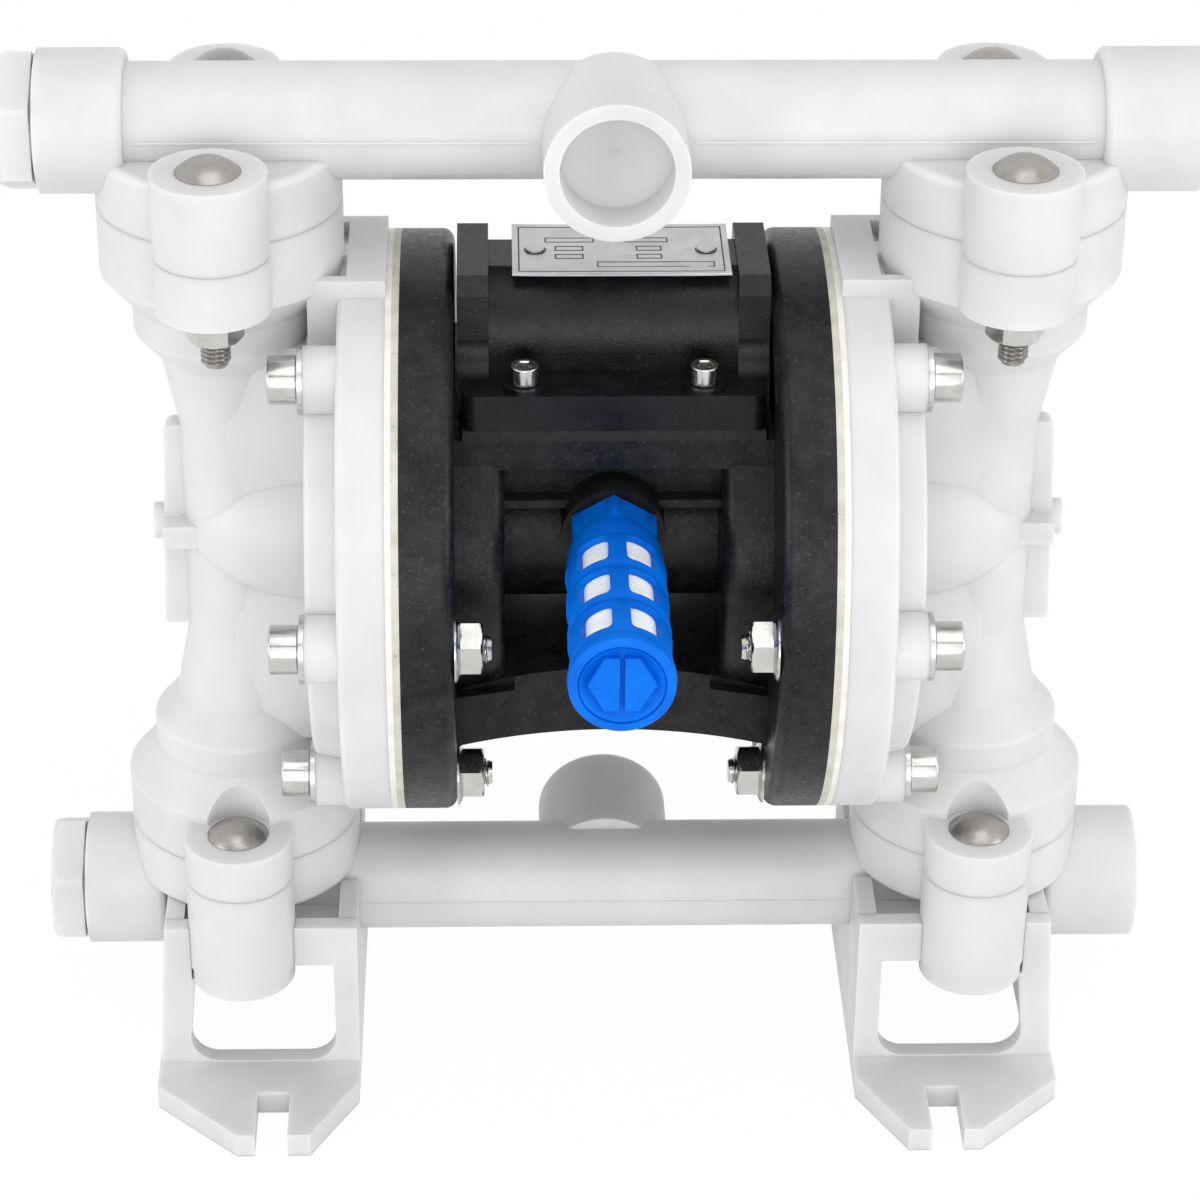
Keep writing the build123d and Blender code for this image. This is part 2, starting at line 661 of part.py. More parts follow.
def bracket():
    """The flat-topped lug between the rim and the upper port flange, with two pockets."""
    inner_x = RIM_X
    outer_x = RIM_X + BRACKET_DEPTH
    half = BRACKET_HALF_WIDTH
    lug = block(inner_x, outer_x, -half, half, BRACKET_TOP_Z - BRACKET_HEIGHT, BRACKET_TOP_Z)
    floor = BRACKET_TOP_Z - POCKET_DEPTH
    wall = CHAMBER_WALL * 0.75
    split_x = inner_x + BRACKET_DEPTH / 2
    lug -= block(split_x, outer_x - wall, wall, half - wall, floor, BRACKET_TOP_Z)
    return lug - block(split_x, outer_x - wall, wall - half, -wall, floor, BRACKET_TOP_Z)


def valve_cage(joint_z, sign):
    """The hollow of one ball valve housing, with guide ribs left standing; sign is +1 above."""
    hollow = along_z(CAGE_RADIUS, CAGE_END_Z, joint_z, PORT_X)
    rib_inner = BALL_RADIUS + BALL_SIDE_ROOM
    if sign > 0:
        rib_start = CAGE_END_Z + SEAT_HEIGHT
        rib_end = joint_z
    else:
        rib_start = CAGE_END_Z
        rib_end = joint_z - SEAT_HEIGHT
    ribs = block(-CAGE_RADIUS, CAGE_RADIUS, -GUIDE_RIB_HALF, GUIDE_RIB_HALF, rib_start, rib_end)
    ribs += block(-GUIDE_RIB_HALF, GUIDE_RIB_HALF, -CAGE_RADIUS, CAGE_RADIUS, rib_start, rib_end)
    ribs = Pos(PORT_X, 0, 0) * (ribs - along_z(rib_inner, rib_start, rib_end))
    hollow -= ribs
    hollow += along_z(PASSAGE_RADIUS, 0, CAGE_END_Z, PORT_X)
    if sign < 0:
        hollow = mirror(hollow, about=Plane.XY)
    return hollow


def chamber():
    """The right-hand fluid chamber."""
    body = turned_x(
        [
            (RIM_X, 0),
            (RIM_X, DISC_RADIUS),
            (RIM_OUT_X, DISC_RADIUS),
            (RIM_OUT_X, PLATEAU_RADIUS + 1.5),
            (BOSS_X, PLATEAU_RADIUS),
            (BOSS_X, 0),
        ],
        [(2, 1.2), (4, 1.2)],
    )
    for angle in BOLT_ANGLES:
        body += along_x(BOSS_RADIUS, RIM_OUT_X - 1, BOSS_X, *bolt_place(angle))
    body += bracket()
    body += neck(UPPER_JOINT_Z) + elbow()
    body += mirror(neck(LOWER_JOINT_Z) + elbow(), about=Plane.XY)
    body += ears(UPPER_JOINT_Z - UPPER_CHAMBER_EAR, UPPER_JOINT_Z)
    body += ears(-LOWER_JOINT_Z + LOWER_CHAMBER_EAR, -LOWER_JOINT_Z)
    body -= spot_faces()
    body += dome()
    floor_x = BOSS_X - CHAMBER_WALL
    cavity = turned_x([(RIM_X, 0), (RIM_X, CAVITY_RADIUS), (floor_x, CAVITY_FLOOR_RADIUS), (floor_x, 0)])
    cavity += along_x(DOME_RADIUS - CHAMBER_WALL, floor_x, PORT_X - PASSAGE_RADIUS / 2)
    body -= cavity
    body -= valve_cage(UPPER_JOINT_Z, 1)
    body -= valve_cage(LOWER_JOINT_Z, -1)
    body -= ear_holes(-LOWER_JOINT_Z, -LOWER_JOINT_Z + LOWER_CHAMBER_EAR)
    body -= ear_holes(UPPER_JOINT_Z - UPPER_CHAMBER_EAR, UPPER_JOINT_Z)
    for angle in BOLT_ANGLES:
        body -= along_x(BOLT_RADIUS + SCREW_ROOM, RIM_X, BOSS_X, *bolt_place(angle))
    return body


# Manifolds


def stop_ribs(start, end):
    """Four fingers across the outlet mouth that stop the ball and let the liquid pass."""
    bar = block(-CAGE_RADIUS, CAGE_RADIUS, -STOP_RIB_HALF, STOP_RIB_HALF, start, end)
    bar += block(-STOP_RIB_HALF, STOP_RIB_HALF, -CAGE_RADIUS, CAGE_RADIUS, start, end)
    return bar - along_z(STOP_RIB_INNER, start, end)


def manifold_bar(blind_side):
    """Tube, collars and the blind boss, with the tube axis at z = 0; blind_side is -1 for the front."""
    bar = along_x(TUBE_RADIUS, -COLLAR_INNER_X - 2, COLLAR_INNER_X + 2)
    for start, end in ((-PLUG_END_X, -COLLAR_INNER_X), (PORT_END_X, COLLAR_INNER_X)):
        bar += turned_x(
            [(start, 0), (start, COLLAR_RADIUS), (end, COLLAR_RADIUS), (end, 0)], [(2, COLLAR_ROUND)]
        )
    ends = sorted((0, blind_side * BOSS_MOUTH_Y))
    return bar + along_y(BOSS_OUTER_RADIUS, ends[0], ends[1])


def manifold_hollow(blind_side):
    """The bore, both threaded ends and the boss recess, with the tube axis at z = 0."""
    bore = along_x(TUBE_BORE, -PLUG_END_X, PORT_END_X)
    bore += along_x(PORT_THREAD_BORE, PORT_END_X - PORT_THREAD_DEPTH, PORT_END_X)
    bore += along_x(PORT_THREAD_BORE, -PLUG_END_X, -PLUG_END_X + PORT_THREAD_DEPTH)
    mouth = BOSS_MOUTH_Y
    floor = BOSS_MOUTH_Y - BOSS_RECESS_DEPTH
    recess = turned_y(
        [
            (0, mouth),
            (BOSS_RECESS_RADIUS, mouth),
            (BOSS_RECESS_RADIUS, floor),
            (0, floor - BOSS_CONE_DEPTH),
        ]
    )
    if blind_side < 0:
        recess = mirror(recess, about=Plane.XZ)
    return bore + recess


def manifold_flange(joint_z, ear_height, sign):
    """The right-hand flange with ears; sign is +1 above the joint and -1 below."""
    flange = turned_z(
        [
            (0, 0),
            (FLANGE_RADIUS, 0),
            (FLANGE_RADIUS, MANIFOLD_FLANGE),
            (0, MANIFOLD_FLANGE),
        ],
        [(2, FLANGE_ROUND)],
    )
    for y in (-EAR_Y, EAR_Y):
        flange += along_z(EAR_RADIUS, 0, ear_height, 0, y)
    flange = Pos(PORT_X, 0, joint_z) * flange
    if sign < 0:
        flange = mirror(flange, about=Plane.XY)
    return flange


def outlet_manifold():
    body = Pos(0, 0, MANIFOLD_Z) * manifold_bar(-1)
    flange = manifold_flange(UPPER_JOINT_Z, UPPER_MANIFOLD_EAR, 1)
    body += flange + mirrored(flange)
    body -= Pos(0, 0, MANIFOLD_Z) * manifold_hollow(-1)
    ball_top = UPPER_BALL_Z + BALL_RADIUS + BALL_LIFT + LOOSE_GAP
    stop_start = max(ball_top, UPPER_JOINT_Z)
    mouth = along_z(TUBE_BORE + 2.5, UPPER_JOINT_Z, MANIFOLD_Z, PORT_X)
    mouth -= Pos(PORT_X, 0, 0) * stop_ribs(stop_start, stop_start + 3)
    mouth += ear_holes(UPPER_JOINT_Z, UPPER_JOINT_Z + UPPER_MANIFOLD_EAR)
    return body - mouth - mirrored(mouth)


def nut_pocket():
    """Hexagonal pockets in the soles of the lower ears, right-hand pair."""
    bottom = -LOWER_JOINT_Z - LOWER_MANIFOLD_EAR
    pocket = None
    for y in (-EAR_Y, EAR_Y):
        cut = Pos(PORT_X, y, bottom) * hex_bar(NUT_ACROSS + 2 * CLOSE_FIT, NUT_POCKET_DEPTH)
        pocket = cut if pocket is None else pocket + cut
    return pocket


def inlet_manifold():
    body = Pos(0, 0, -MANIFOLD_Z) * manifold_bar(1)
    flange = manifold_flange(LOWER_JOINT_Z, LOWER_MANIFOLD_EAR, -1)
    bottom = -LOWER_JOINT_Z - LOWER_MANIFOLD_EAR
    for y in (-EAR_Y, EAR_Y):
        ring = along_z(EAR_RADIUS + 1, bottom, bottom + EAR_STEP, PORT_X, y)
        flange -= ring - along_z(EAR_RADIUS - EAR_STEP_DEPTH, bottom, bottom + EAR_STEP, PORT_X, y)
    body += flange + mirrored(flange)
    body -= Pos(0, 0, -MANIFOLD_Z) * manifold_hollow(1)
    mouth = along_z(TUBE_BORE, -MANIFOLD_Z, -LOWER_JOINT_Z, PORT_X)
    mouth += ear_holes(bottom, -LOWER_JOINT_Z) + nut_pocket()
    return body - mouth - mirrored(mouth)


def foot_outline():
    """The plan of one front toe with its open slot, from the leg forward (towards -Y)."""
    return [
        (LEG_INNER_X, -FOOT_HALF_DEPTH + FOOT_WALL),
        (LEG_INNER_X, -TOE_KNEE_Y + 1),
        (TOE_FRONT_IN_X, -TOE_FRONT_Y),
        (SLOT_X - SLOT_HALF_WIDTH, -TOE_FRONT_Y),
        (SLOT_X - SLOT_HALF_WIDTH, -SLOT_END_Y),
        (SLOT_X + SLOT_HALF_WIDTH, -SLOT_END_Y),
        (SLOT_X + SLOT_HALF_WIDTH, -TOE_FRONT_Y),
        (TOE_FRONT_OUT_X, -TOE_FRONT_Y),
        (LEG_OUTER_X, -TOE_KNEE_Y),
        (LEG_OUTER_X, -FOOT_HALF_DEPTH + FOOT_WALL),
    ]


def leg_plate(thickness):
    """The upright front plate of a leg, between its outer and inner edges."""
    sole = -AXIS_HEIGHT
    face = Plane.XZ * outline(
        [(LEG_INNER_X, FOOT_TOP_Z), (LEG_OUTER_TOP_X, FOOT_TOP_Z), (LEG_OUTER_X, sole), (LEG_INNER_X, sole)]
    )
    return extrude(face, thickness)


def foot_window():
    """The arched window of the front plate, cut right through."""
    face = Plane.XZ * outline(
        [
            (WINDOW_INNER_X, WINDOW_TOP_Z),
            (WINDOW_OUTER_TOP_X, WINDOW_TOP_Z),
            (WINDOW_OUTER_X, WINDOW_BOTTOM_Z),
            (WINDOW_INNER_X, WINDOW_BOTTOM_Z),
        ],
        [(2, WINDOW_ROUND), (3, WINDOW_ROUND)],
    )
    return Pos(0, FOOT_HALF_DEPTH + 1, 0) * extrude(face, 2 * FOOT_HALF_DEPTH + 2)


def foot_room():
    """What the inlet manifold and its ears need free in a foot."""
    room = TUBE_RADIUS + CLOSE_FIT
    free = along_x(room, LEG_INNER_X - 5, LEG_OUTER_X + 5, 0, -MANIFOLD_Z)
    free += block(LEG_INNER_X - 5, LEG_OUTER_X + 5, -room, room, -MANIFOLD_Z, FOOT_TOP_Z)
    free += along_x(COLLAR_RADIUS + CLOSE_FIT, COLLAR_INNER_X - CLOSE_FIT, LEG_OUTER_X + 5, 0, -MANIFOLD_Z)
    ear_end = -LOWER_JOINT_Z - LOWER_MANIFOLD_EAR - CLOSE_FIT
    for y in (-EAR_Y, EAR_Y):
        free += along_z(EAR_RADIUS + CLOSE_FIT, ear_end, FOOT_TOP_Z, PORT_X, y)
    return free


def foot_frame():
    """The front frame of the right-hand foot: an upright plate with its window, and the slotted toe."""
    plate = Pos(0, -FOOT_HALF_DEPTH + FOOT_WALL, 0) * leg_plate(FOOT_WALL)
    toe = Pos(0, 0, -AXIS_HEIGHT) * extrude(outline(foot_outline()), TOE_THICKNESS)
    return plate + toe - foot_window() - foot_room()


def foot_walls():
    """The inner and the outer side wall between the frames of the right-hand foot."""
    inside = FOOT_HALF_DEPTH - FOOT_WALL
    block_face = Pos(0, inside, 0) * leg_plate(2 * inside)
    room_face = Plane.XZ * outline(
        [
            (LEG_INNER_X + FOOT_WALL, FOOT_TOP_Z),
            (LEG_OUTER_TOP_X - FOOT_WALL, FOOT_TOP_Z),
            (LEG_OUTER_X - FOOT_WALL, -AXIS_HEIGHT),
            (LEG_INNER_X + FOOT_WALL, -AXIS_HEIGHT),
        ]
    )
    walls = block_face - Pos(0, inside, 0) * extrude(room_face, 2 * inside) - foot_room()
    return list(walls.solids())


# Plugs, balls and seats


def blanking_plug():
    """A hexagon plug for the left-hand collar, with the tube axis at z = 0."""
    seat_x = -PLUG_END_X - PLUG_SEAL_THICKNESS
    hexagon = extrude(RegularPolygon(PLUG_HEX_RADIUS, 6), PLUG_HEAD_LENGTH)
    head = Pos(seat_x - PLUG_HEAD_LENGTH, 0, 0) * Rot(0, 90, 0) * hexagon
    cone = turned_x(
        [
            (seat_x, 0),
            (seat_x, PLUG_HEX_RADIUS),
            (seat_x - PLUG_HEAD_LENGTH + 2 * PLUG_ROUND, PLUG_HEX_RADIUS),
            (seat_x - PLUG_HEAD_LENGTH, PLUG_HEX_RADIUS - 2 * PLUG_ROUND),
            (seat_x - PLUG_HEAD_LENGTH, 0),
        ]
    )
    head = head & cone
    return head + along_x(PORT_THREAD_BORE - CLOSE_FIT, seat_x, seat_x + PLUG_THREAD_LENGTH)


def plug_seal():
    """The flat ring under a plug's head."""
    end = -PLUG_END_X
    start = end - PLUG_SEAL_THICKNESS
    return along_x(PLUG_SEAL_RADIUS, start, end) - along_x(PORT_THREAD_BORE + CLOSE_FIT, start, end)


def valve_seat():
    """A seat ring from z = 0 to its height, with the cone that the ball closes on."""
    outer = CAGE_RADIUS - CLOSE_FIT
    groove = (SEAT_HEIGHT - RING_SECTION) / 2
    return turned_z(
        [
            (SEAT_BORE, 0),
            (outer, 0),
            (outer, groove),
            (outer - RING_SECTION, groove),
            (outer - RING_SECTION, groove + RING_SECTION),
            (outer, groove + RING_SECTION),
            (outer, SEAT_HEIGHT),
            (SEAT_BORE + SEAT_CONE, SEAT_HEIGHT),
            (SEAT_BORE, SEAT_HEIGHT - SEAT_CONE),
        ]
    )


def seat_ring():
    """The sealing ring in the seat's groove."""
    outer = CAGE_RADIUS - CLOSE_FIT
    groove = (SEAT_HEIGHT - RING_SECTION) / 2
    ring = along_z(outer, groove, groove + RING_SECTION)
    return ring - along_z(outer - RING_SECTION + CLOSE_FIT, groove, groove + RING_SECTION)


UPPER_SEAT_Z = CAGE_END_Z
LOWER_SEAT_Z = -LOWER_JOINT_Z
BALL_ABOVE_SEAT = SEAT_HEIGHT - SEAT_CONE + BALL_SEAT_RISE
UPPER_BALL_Z = UPPER_SEAT_Z + BALL_ABOVE_SEAT
LOWER_BALL_Z = LOWER_SEAT_Z + BALL_ABOVE_SEAT


# Air valve


def valve_body():
    base = block(
        -VALVE_HALF_LENGTH, VALVE_HALF_LENGTH, -VALVE_HALF_DEPTH, VALVE_HALF_DEPTH,
        GASKET_TOP_Z, VALVE_BASE_TOP_Z,
    )
    base = fillet(base.edges().filter_by(Axis.Z), 2.5)
    barrel = along_x(VALVE_BARREL_RADIUS, -VALVE_FLANGE_X, VALVE_FLANGE_X, 0, VALVE_AXIS_Z)
    saddle = block(
        -VALVE_FLANGE_X, VALVE_FLANGE_X, -VALVE_BARREL_RADIUS, VALVE_BARREL_RADIUS,
        VALVE_BASE_TOP_Z, VALVE_AXIS_Z,
    )
    barrel = barrel + saddle
    pad = block(
        -VALVE_FLANGE_X, VALVE_FLANGE_X, -VALVE_FLANGE_HALF / 2, VALVE_FLANGE_HALF / 2,
        VALVE_AXIS_Z, VALVE_TOP_Z,
    )
    barrel = barrel & block(
        -VALVE_FLANGE_X, VALVE_FLANGE_X, -VALVE_HALF_DEPTH, VALVE_HALF_DEPTH,
        GASKET_TOP_Z + 1, VALVE_TOP_Z,
    )
    body = base + barrel + pad
    cheek_face = Plane.YZ * make_face(cheek_edges())
    for start in (-VALVE_FLANGE_END_X, VALVE_FLANGE_X):
        body += Pos(start, 0, 0) * extrude(cheek_face, VALVE_FLANGE_END_X - VALVE_FLANGE_X)
    body -= along_x(SLEEVE_RADIUS + CLOSE_FIT, -VALVE_FLANGE_X, VALVE_FLANGE_X, 0, VALVE_AXIS_Z)
    for start in (-VALVE_FLANGE_END_X, VALVE_FLANGE_X):
        end = start + VALVE_FLANGE_END_X - VALVE_FLANGE_X
        body -= along_x(PLUG_DISC_RADIUS + CLOSE_FIT, start, end, 0, VALVE_AXIS_Z)
    for x, y in DUCT_PLACES:
        body -= along_z(AIR_DUCT_RADIUS, GASKET_TOP_Z, VALVE_AXIS_Z, x, y)
    for x, y in SCREW_PLACES:
        body -= along_z(SCREW_RADIUS + SCREW_ROOM, GASKET_TOP_Z, VALVE_BASE_TOP_Z, x, y)
    return body


def cheek_edges():
    """The side outline of an end flange: flat top, bevel, and a flare down to the base."""
    half = VALVE_FLANGE_HALF
    shoulder = (half + 1.6, VALVE_FLANGE_TOP_Z - 4.0)
    waist = (half + 2.4, VALVE_BASE_TOP_Z + 6.5)
    foot_point = (half + 7.0, VALVE_BASE_TOP_Z)
    bulge = (half + 3.8, VALVE_BASE_TOP_Z + 2.0)
    edges = Polyline(
        (-waist[0], waist[1]), (-shoulder[0], shoulder[1]), (-half, VALVE_FLANGE_TOP_Z),
        (half, VALVE_FLANGE_TOP_Z), shoulder, waist,
    )
    edges += ThreePointArc(waist, bulge, foot_point)
    edges += Polyline(
        foot_point, (foot_point[0], GASKET_TOP_Z + 1), (-foot_point[0], GASKET_TOP_Z + 1),
        (-foot_point[0], foot_point[1]),
    )
    edges += ThreePointArc((-foot_point[0], foot_point[1]), (-bulge[0], bulge[1]), (-waist[0], waist[1]))
    return edges


def valve_gasket():
    sheet = block(
        -VALVE_HALF_LENGTH, VALVE_HALF_LENGTH, -VALVE_HALF_DEPTH, VALVE_HALF_DEPTH,
        DECK_TOP_Z, GASKET_TOP_Z,
    )
    for x, y in SCREW_PLACES:
        sheet -= along_z(SCREW_RADIUS + SCREW_ROOM, DECK_TOP_Z, GASKET_TOP_Z, x, y)
    for x, y in DUCT_PLACES:
        sheet -= along_z(AIR_DUCT_RADIUS, DECK_TOP_Z, GASKET_TOP_Z, x, y)
    return sheet


def valve_sleeve():
    tube = along_x(SLEEVE_RADIUS, -SLEEVE_HALF_LENGTH, SLEEVE_HALF_LENGTH, 0, VALVE_AXIS_Z)
    tube -= along_x(SPOOL_RADIUS + RUNNING_FIT, -SLEEVE_HALF_LENGTH, SLEEVE_HALF_LENGTH, 0, VALVE_AXIS_Z)
    for x, y in DUCT_PLACES:
        tube -= along_z(AIR_DUCT_RADIUS, VALVE_AXIS_Z - SLEEVE_RADIUS - 1, VALVE_AXIS_Z, x, y)
    return tube


def spool_lands():
    """Left edges of the spool's three lands."""
    reach = SPOOL_HALF_LENGTH - LAND_WIDTH
    return (-SPOOL_HALF_LENGTH, -LAND_WIDTH / 2, reach)


def valve_spool():
    spool = along_x(SPOOL_WAIST, -SPOOL_HALF_LENGTH, SPOOL_HALF_LENGTH)
    for start in spool_lands():
        spool += along_x(SPOOL_RADIUS, start, start + LAND_WIDTH)
        groove = start + (LAND_WIDTH - RING_SECTION) / 2
        ring = along_x(SPOOL_RADIUS, groove, groove + RING_SECTION)
        spool -= ring - along_x(SPOOL_RADIUS - RING_SECTION, groove, groove + RING_SECTION)
    return Pos(0, 0, VALVE_AXIS_Z) * spool


def spool_seals():
    rings = []
    for start in spool_lands():
        groove = start + (LAND_WIDTH - RING_SECTION) / 2
        ring = along_x(SPOOL_RADIUS, groove, groove + RING_SECTION, 0, VALVE_AXIS_Z)
        inner = SPOOL_RADIUS - RING_SECTION + CLOSE_FIT
        rings.append(ring - along_x(inner, groove, groove + RING_SECTION, 0, VALVE_AXIS_Z))
    return rings


def valve_end_plug():
    """The disc that closes one end of the valve bore, with a groove for its ring."""
    start = VALVE_FLANGE_X
    end = VALVE_FLANGE_END_X - 0.5
    plug = along_x(PLUG_DISC_RADIUS, start, end, 0, VALVE_AXIS_Z)
    groove = (start + end - RING_SECTION) / 2
    ring = along_x(PLUG_DISC_RADIUS, groove, groove + RING_SECTION, 0, VALVE_AXIS_Z)
    return plug - (ring - along_x(PLUG_DISC_RADIUS - RING_SECTION, groove, groove + RING_SECTION, 0, VALVE_AXIS_Z))


def valve_plug_seal():
    """The ring in an end plug's groove."""
    start = (VALVE_FLANGE_X + VALVE_FLANGE_END_X - 0.5 - RING_SECTION) / 2
    end = start + RING_SECTION
    ring = along_x(PLUG_DISC_RADIUS, start, end, 0, VALVE_AXIS_Z)
    return ring - along_x(PLUG_DISC_RADIUS - RING_SECTION + CLOSE_FIT, start, end, 0, VALVE_AXIS_Z)


def valve_screw(x, y):
    """A socket-head screw that holds the valve down."""
    seat = VALVE_BASE_TOP_Z + SCREW_WASHER_THICKNESS
    head = along_z(SCREW_HEAD_RADIUS, seat, seat + SCREW_HEAD_HEIGHT, x, y)
    socket = Pos(x, y, seat + SCREW_HEAD_HEIGHT / 2) * hex_bar(SCREW_HEAD_RADIUS, SCREW_HEAD_HEIGHT / 2)
    return head - socket + along_z(SCREW_RADIUS, seat - SCREW_LENGTH, seat, x, y)


def valve_screw_washer(x, y):
    low = VALVE_BASE_TOP_Z
    high = low + SCREW_WASHER_THICKNESS
    return along_z(SCREW_WASHER_RADIUS, low, high, x, y) - along_z(SCREW_RADIUS + CLOSE_FIT, low, high, x, y)


def name_plate():
    top = VALVE_TOP_Z + PLATE_THICKNESS
    plate = block(
        PLATE_X - PLATE_LENGTH / 2, PLATE_X + PLATE_LENGTH / 2, -PLATE_DEPTH / 2, PLATE_DEPTH / 2,
        VALVE_TOP_Z, top,
    )
    for x in rivet_places():
        plate -= along_z(RIVET_RADIUS + CLOSE_FIT, VALVE_TOP_Z, top, x)
    return plate


def rivet_places():
    return (PLATE_X - RIVET_SPACING / 2, PLATE_X + RIVET_SPACING / 2)


def rivet(x):
    top = VALVE_TOP_Z + PLATE_THICKNESS
    return along_z(RIVET_RADIUS, VALVE_TOP_Z, top, x) + along_z(RIVET_RADIUS + 0.4, top, top + 0.3, x)


# Exhaust silencer


def silencer_profile():
    """The outer outline of the barrel: one shallow bulge over each row of windows."""
    start = EXHAUST_FACE_Y - SILENCER_HEX_LENGTH
    first = FIRST_WINDOW_Y + (ROW_PITCH - WINDOW_LENGTH) / 2
    rim_start = SILENCER_FACE_Y + SILENCER_RIM_LENGTH
    edges = Polyline((0, start), (SILENCER_RADIUS - 1.0, start), (SILENCER_RADIUS, first))
    for row in range(ROWS):
        top = first - row * ROW_PITCH
        bottom = top - ROW_PITCH
        edges += ThreePointArc(
            (SILENCER_RADIUS, top), (SILENCER_RADIUS + BULGE, (top + bottom) / 2), (SILENCER_RADIUS, bottom)
        )
    edges += Polyline(
        (SILENCER_RADIUS, first - ROWS * ROW_PITCH),
        (SILENCER_RIM_RADIUS, rim_start),
        (SILENCER_RIM_RADIUS, SILENCER_FACE_Y),
        (0, SILENCER_FACE_Y),
        (0, start),
    )
    return edges


def muffler_body():
    hex_length = SILENCER_HEX_LENGTH
    hexagon = extrude(RegularPolygon(SILENCER_HEX_ACROSS / 2 * HEX_CORNER, 6, rotation=90), hex_length)
    body = Pos(0, EXHAUST_FACE_Y, 0) * Rot(90, 0, 0) * hexagon
    body += revolve(make_face(silencer_profile()), Axis.Y, 360)
    body += along_y(AIR_PORT_BORE - CLOSE_FIT, EXHAUST_FACE_Y - 1, EXHAUST_STEM_END_Y)
    body -= along_y(SILENCER_BORE, SILENCER_FACE_Y + SILENCER_FLOOR, EXHAUST_FACE_Y - SILENCER_HEX_LENGTH / 2)
    body -= along_y(AIR_PORT_BORE - 2.0, EXHAUST_FACE_Y - SILENCER_HEX_LENGTH, EXHAUST_STEM_END_Y)
    for row in range(ROWS):
        middle = FIRST_WINDOW_Y - WINDOW_LENGTH / 2 - row * ROW_PITCH
        for number in range(WINDOWS_PER_ROW):
            turn = (number + 0.5) * 360 / WINDOWS_PER_ROW
            hole = Pos(0, middle, SILENCER_RADIUS) * Box(WINDOW_WIDTH, WINDOW_LENGTH, SILENCER_RADIUS)
            body -= Rot(0, turn, 0) * hole
    ring_floor = SILENCER_FACE_Y + RING_RECESS_DEPTH
    ring = along_y(RING_RECESS_RADIUS, SILENCER_FACE_Y, ring_floor)
    body -= ring - along_y(RING_RECESS_RADIUS - RING_RECESS_WIDTH, SILENCER_FACE_Y, ring_floor)
    key = Rot(90, 0, 0) * extrude(RegularPolygon(DRIVER_HEX_RADIUS, 6), DRIVER_HEX_HEIGHT)
    key -= block(-DRIVER_SLOT / 2, DRIVER_SLOT / 2, -DRIVER_HEX_HEIGHT, 0, -SILENCER_RADIUS, SILENCER_RADIUS)
    body += Pos(0, SILENCER_FACE_Y, 0) * key
    return Pos(0, 0, EXHAUST_Z) * body


def muffler_element():
    """The porous tube inside the silencer."""
    start = SILENCER_FACE_Y + SILENCER_FLOOR + CLOSE_FIT
    end = EXHAUST_FACE_Y - SILENCER_HEX_LENGTH
    radius = SILENCER_BORE - CLOSE_FIT
    return along_y(radius, start, end, 0, EXHAUST_Z) - along_y(radius - ELEMENT_WALL, start, end, 0, EXHAUST_Z)


# Fasteners


def chamber_bolt(angle):
    """A socket-head bolt of the right-hand chamber."""
    y, z = bolt_place(angle)
    if angle in BURIED_NUT_ANGLES:
        end = DISC_BACK_X + LOOSE_GAP
    else:
        end = DISC_BACK_X - NUT_HEIGHT - THREAD_SHOWING
    head = along_x(BOLT_HEAD_RADIUS, HEAD_X, HEAD_X + BOLT_HEAD_HEIGHT, y, z)
    top = HEAD_X + BOLT_HEAD_HEIGHT
    head -= hex_along_x(HEX_KEY_ACROSS, top - HEX_KEY_DEPTH, top, y, z)
    return head + along_x(BOLT_RADIUS, end, HEAD_X, y, z)


def chamber_washer(angle):
    y, z = bolt_place(angle)
    ring = along_x(WASHER_RADIUS, BOSS_X, HEAD_X, y, z)
    return ring - along_x(BOLT_RADIUS + CLOSE_FIT, BOSS_X, HEAD_X, y, z)


def chamber_nut(angle):
    """A flange nut on the disc, or a plain one sunk in it behind the valve."""
    y, z = bolt_place(angle)
    if angle in BURIED_NUT_ANGLES:
        end = DISC_BACK_X + BURIED_NUT_DEPTH
        nut = hex_along_x(NUT_ACROSS, end - PLAIN_NUT_HEIGHT, end, y, z)
    else:
        end = DISC_BACK_X
        nut = hex_along_x(NUT_ACROSS, end - NUT_HEIGHT, end, y, z)
        nut += along_x(NUT_FLANGE_RADIUS, end - NUT_FLANGE_THICKNESS, end, y, z)
    return nut - along_x(BOLT_RADIUS + CLOSE_FIT, end - NUT_HEIGHT - 1, end, y, z)


def dome_bolt(seat_z, length, x, y):
    """A dome-headed flange bolt with its head seated at seat_z."""
    rise = DOME_HEAD_HEIGHT
    ball = (DOME_HEAD_RADIUS ** 2 + rise ** 2) / (2 * rise)
    cap = Pos(x, y, seat_z + rise - ball) * Sphere(ball)
    cap = cap & along_z(DOME_HEAD_RADIUS, seat_z, seat_z + rise + 1, x, y)
    return cap + along_z(BOLT_RADIUS, seat_z - length, seat_z, x, y)


def plain_nut(top_z, x, y):
    nut = Pos(x, y, top_z - PLAIN_NUT_HEIGHT) * hex_bar(NUT_ACROSS, PLAIN_NUT_HEIGHT)
    return nut - along_z(BOLT_RADIUS + CLOSE_FIT, top_z - PLAIN_NUT_HEIGHT, top_z, x, y)


def flange_washer(top_z, x, y):
    low = top_z - FLANGE_WASHER_THICKNESS
    ring = along_z(NUT_FLANGE_RADIUS, low, top_z, x, y)
    return ring - along_z(BOLT_RADIUS + CLOSE_FIT, low, top_z, x, y)


